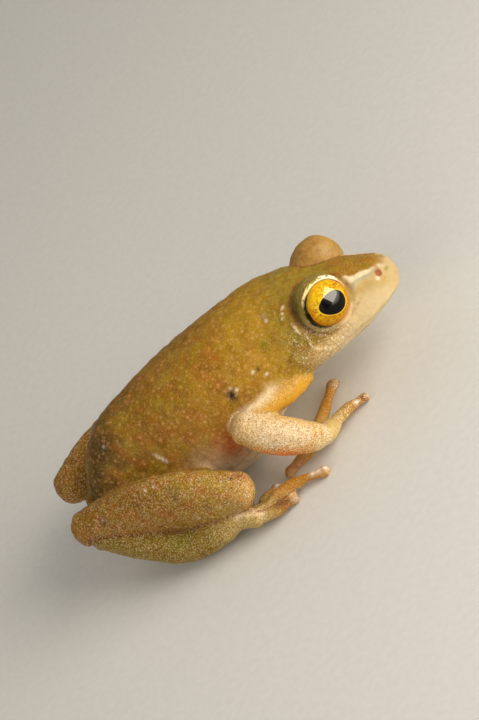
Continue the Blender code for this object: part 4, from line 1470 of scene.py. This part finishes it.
SKIN = frog_skin()
set_points(skin_mesh, to_frame(points_of(skin_mesh)))
skin_mesh.name = "frog_skin"
skin_mesh.materials.clear()
skin_mesh.materials.append(SKIN)
skin_mesh.shade_smooth()
frog_skin_object = bpy.data.objects.new("frog_skin", skin_mesh)
bpy.context.scene.collection.objects.link(frog_skin_object)
flesh = [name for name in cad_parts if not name.startswith("eye_")]
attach(frog_skin_object, "root")
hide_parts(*flesh)
print("skin stands for", len(flesh), "nodes,", triangles(skin_mesh), "triangles")

# %% [markdown]
# ## The eyes
# The iris is a sheet of gold behind a clear, wet cornea, with a black pupil that lies flat
# like a lying drop. We make each eye one ball with its own flat map, where the centre is the
# pupil, so the gold threads can run out from it like spokes.

# %% Eyeballs
EYE_ROWS, EYE_SIDES = 90, 128
PUPIL_TURN = math.radians(-24)
PUPIL_LONG, PUPIL_HIGH, PUPIL_TAPER = 1.20, 0.90, 0.13
WINDOW_AT = (0.37, 0.64)


def eyeball(side):
    """A ball about the eye's axis; its map gives each point's distance across and up, in mm."""
    centre, axis, fore, up = eye_axes(side, EYE_RISE)
    off = np.linspace(0, math.pi, EYE_ROWS + 2)[1:-1, None]
    turn = np.linspace(0, 2 * math.pi, EYE_SIDES, endpoint=False)[None] * side
    away = (
        np.cos(off)[..., None] * axis
        + (np.sin(off) * np.cos(turn))[..., None] * fore
        + (np.sin(off) * np.sin(turn))[..., None] * up
    )
    points, faces = tube(centre + EYE_RADIUS * away, centre + EYE_RADIUS * axis, centre - EYE_RADIUS * axis)
    mesh = bpy.data.meshes.new("eyeball")
    mesh.from_pydata(to_frame(points).tolist(), [], faces)
    mesh.update()
    corner = np.empty(len(mesh.loops), int)
    mesh.loops.foreach_get("vertex_index", corner)
    flat = np.column_stack([(points - centre) @ fore, (points - centre) @ up])
    layer = mesh.uv_layers.new(name="iris")
    layer.data.foreach_set("uv", flat[corner].ravel())
    mesh.shade_smooth()
    return mesh


def eye_material():
    """Gold iris, black pupil and dark rim under a clear wet cornea."""
    made, tree, shader = blank_material("gold eye under wet cornea")
    flat = add(tree, "ShaderNodeUVMap", {"uv_map": "iris"})
    reach = add(tree, "ShaderNodeVectorMath", {"operation": "LENGTH"}, "Value", Vector=flat)
    height = add(tree, "ShaderNodeSeparateXYZ", out=1, Vector=flat)

    # Threads run out from the pupil: noise on the direction, which changes slowly with the distance.
    spoke = add(tree, "ShaderNodeVectorMath", {"operation": "NORMALIZE"}, Vector=flat)
    spoke_x = add(tree, "ShaderNodeSeparateXYZ", Vector=spoke)
    spoke_y = spoke_x.node.outputs[1]
    drift = add(tree, "ShaderNodeMath", TIMES, i0=reach, i1=1.1)
    drawn = add(tree, "ShaderNodeCombineXYZ", X=spoke_x, Y=spoke_y, Z=drift)
    threads = add(tree, "ShaderNodeTexNoise", Vector=drawn, Scale=6.0, Detail=6.0, Roughness=0.7)
    blotch = add(tree, "ShaderNodeTexNoise", Vector=flat, Scale=2.6, Detail=5.0, Roughness=0.75)
    gold = colour("#B06800")
    for value, low, high, at_low, at_high, code in (
        (threads, 0.43, 0.55, 0.0, 1.0, "#FFC400"),
        (blotch, 0.50, 0.60, 0.0, 0.75, "#FFDA18"),
        (blotch, 0.36, 0.47, 0.85, 0.0, "#9A5200"),
        (reach, 1.50, 1.70, 0.0, 0.55, "#D86A08"),
        (reach, 1.75, 1.80, 0.0, 1.0, "#0C0400"),
        (height, -0.9, 0.5, 0.6, 0.0, "#B07400"),
        (height, 0.5, 1.3, 0.0, 0.35, "#FFE030"),
    ):
        share = add(
            tree,
            "ShaderNodeMapRange",
            SMOOTH,
            Value=value,
            From_Min=low,
            From_Max=high,
            To_Min=at_low,
            To_Max=at_high,
        )
        gold = add(tree, "ShaderNodeMix", BLEND, MIXED, i0=share, i6=gold, i7=colour(code))

    # The pupil is a lying drop: an ellipse whose height grows towards the snout.
    cos, sin = math.cos(PUPIL_TURN), math.sin(PUPIL_TURN)
    dot = {"operation": "DOT_PRODUCT"}
    across = add(tree, "ShaderNodeVectorMath", dot, "Value", i0=flat, i1=(cos, sin, 0))
    up = add(tree, "ShaderNodeVectorMath", dot, "Value", i0=flat, i1=(-sin, cos, 0))
    taper = add(
        tree,
        "ShaderNodeMath",
        {"operation": "MULTIPLY_ADD"},
        i0=across,
        i1=PUPIL_TAPER * PUPIL_HIGH,
        i2=PUPIL_HIGH,
    )
    wide = add(tree, "ShaderNodeMath", {"operation": "DIVIDE"}, i0=across, i1=PUPIL_LONG)
    high = add(tree, "ShaderNodeMath", {"operation": "DIVIDE"}, i0=up, i1=taper)
    wide = add(tree, "ShaderNodeMath", TIMES, i0=wide, i1=wide)
    drop = add(tree, "ShaderNodeMath", {"operation": "MULTIPLY_ADD"}, i0=high, i1=high, i2=wide)
    for low, high, at_low, code in ((1.05, 1.22, 0.9, "#FFD93A"), (0.97, 1.04, 1.0, "#010101")):
        share = add(
            tree,
            "ShaderNodeMapRange",
            SMOOTH,
            Value=drop,
            From_Min=low,
            From_Max=high,
            To_Min=at_low,
            To_Max=0.0,
        )
        gold = add(tree, "ShaderNodeMix", BLEND, MIXED, i0=share, i6=gold, i7=colour(code))
    tree.links.new(gold, shader.inputs["Base Color"])
    shader.inputs["Roughness"].default_value = 0.35
    shader.inputs["Specular IOR Level"].default_value = 0.1

    # The tear film is thick where the lamp's window shows and thin elsewhere, which keeps the pupil black.
    from_window = add(
        tree, "ShaderNodeVectorMath", {"operation": "DISTANCE"}, "Value", i0=flat, i1=(*WINDOW_AT, 0)
    )
    film = add(
        tree,
        "ShaderNodeMapRange",
        SMOOTH,
        Value=from_window,
        From_Min=0.66,
        From_Max=0.92,
        To_Min=1.0,
        To_Max=0.08,
    )
    tree.links.new(film, shader.inputs["Coat Weight"])
    shader.inputs["Coat Roughness"].default_value = 0.02
    shader.inputs["Coat IOR"].default_value = 1.90
    return made


EYE = eye_material()
for name, side in (("eye_right", -1), ("eye_left", 1)):
    ball = bpy.data.objects.new(f"{name}_ball", eyeball(side))
    ball.data.materials.append(EYE)
    bpy.context.scene.collection.objects.link(ball)
    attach(ball, "root")
    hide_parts(name)
    print(ball.name, triangles(ball.data), "triangles")

# %% [markdown]
# ## Floor, light and camera
# A still model is best seen on a plain pale floor under large soft lamps, so that its own
# colours speak. The camera stands where the photographer's stood, on the frog's right and
# above it, a little rolled, with a long lens that keeps the snout and the heels in scale.

# %% Floor
FLOOR_HALF = 0.6


def floor():
    """A wide square at the level that the toes rest on."""
    mesh = bpy.data.meshes.new("floor")
    corners = [(-FLOOR_HALF, -FLOOR_HALF, 0), (FLOOR_HALF, -FLOOR_HALF, 0)]
    corners += [(FLOOR_HALF, FLOOR_HALF, 0), (-FLOOR_HALF, FLOOR_HALF, 0)]
    mesh.from_pydata(corners, [], [(0, 1, 2, 3)])
    made, tree, shader = blank_material("matt pale studio card")
    where = add(tree, "ShaderNodeTexCoord", out="Object")
    fibre = add(tree, "ShaderNodeTexNoise", Vector=where, Scale=per_mm(0.6), Detail=3.0)
    share = add(tree, "ShaderNodeMapRange", SMOOTH, Value=fibre, From_Min=0.3, From_Max=0.7)
    tone = add(tree, "ShaderNodeMix", BLEND, MIXED, i0=share, i6=colour("#E8EAEC"), i7=colour("#ECEEF0"))
    tree.links.new(tone, shader.inputs["Base Color"])
    shader.inputs["Roughness"].default_value = 0.9
    mesh.materials.append(made)
    return bpy.data.objects.new("floor", mesh)


ground = floor()
bpy.context.scene.collection.objects.link(ground)
print("floor", 2 * FLOOR_HALF, "m wide")

# %% Camera
CAMERA_RIGHT = (0.7473, -0.2878, -0.5989)
CAMERA_UP = (0.6565, 0.4590, 0.5986)
FOCUS = (0.0, -3.4, 9.65)
DISTANCE = 260.0
LENS, SENSOR = 167.7, 36.0


def place_camera():
    """A camera on the line back from the focus, its rows the photographer's right, up and back."""
    data = bpy.data.cameras.new("camera")
    data.lens = LENS
    data.sensor_width = SENSOR
    data.clip_start = 0.005
    data.clip_end = 5.0
    made = bpy.data.objects.new("camera", data)
    bpy.context.scene.collection.objects.link(made)
    turned = Matrix((CAMERA_RIGHT, CAMERA_UP, CAMERA_BACK)).transposed().to_4x4()
    stand = to_frame(np.array(FOCUS) + DISTANCE * np.array(CAMERA_BACK))
    made.matrix_world = Matrix.Translation(Vector(stand)) @ turned
    bpy.context.scene.camera = made
    return made


camera = place_camera()
print("camera stands at mm", [round(c / MM, 1) for c in camera.matrix_world.translation])

# %% Lamps
LAMPS = {
    "key": ((0.83, -0.43, 0.36), 155.0, 165.0, 0.350, "#FFF4E2"),
    "fill": ((-0.55, -0.75, 0.40), 260.0, 300.0, 0.290, "#FFF6E8"),
    "top": ((-0.20, 0.60, 0.80), 260.0, 300.0, 0.130, "#FFF6E8"),
}


def lamp(name, way, far, size, power, code):
    """A square soft lamp of that size in mm, so many mm from the focus that way, aimed at it."""
    data = bpy.data.lights.new(name, "AREA")
    data.size = size * MM
    data.energy = power
    data.color = [float(c) for c in linear(code)]
    made = bpy.data.objects.new(name, data)
    stand = Vector(to_frame(np.array(FOCUS) + far * unit(way)))
    aim = Vector(to_frame(np.array(FOCUS))) - stand
    made.matrix_world = Matrix.Translation(stand) @ aim.to_track_quat("-Z", "Y").to_matrix().to_4x4()
    bpy.context.scene.collection.objects.link(made)


for name, settings in LAMPS.items():
    lamp(name, *settings)
world = bpy.data.worlds.new("studio")
world.use_nodes = True
world.node_tree.nodes["Background"].inputs["Color"].default_value = colour("#F4ECDC")
world.node_tree.nodes["Background"].inputs["Strength"].default_value = 0.14
bpy.context.scene.world = world
bpy.context.scene.view_settings.view_transform = "Standard"
print("lamps", list(LAMPS))
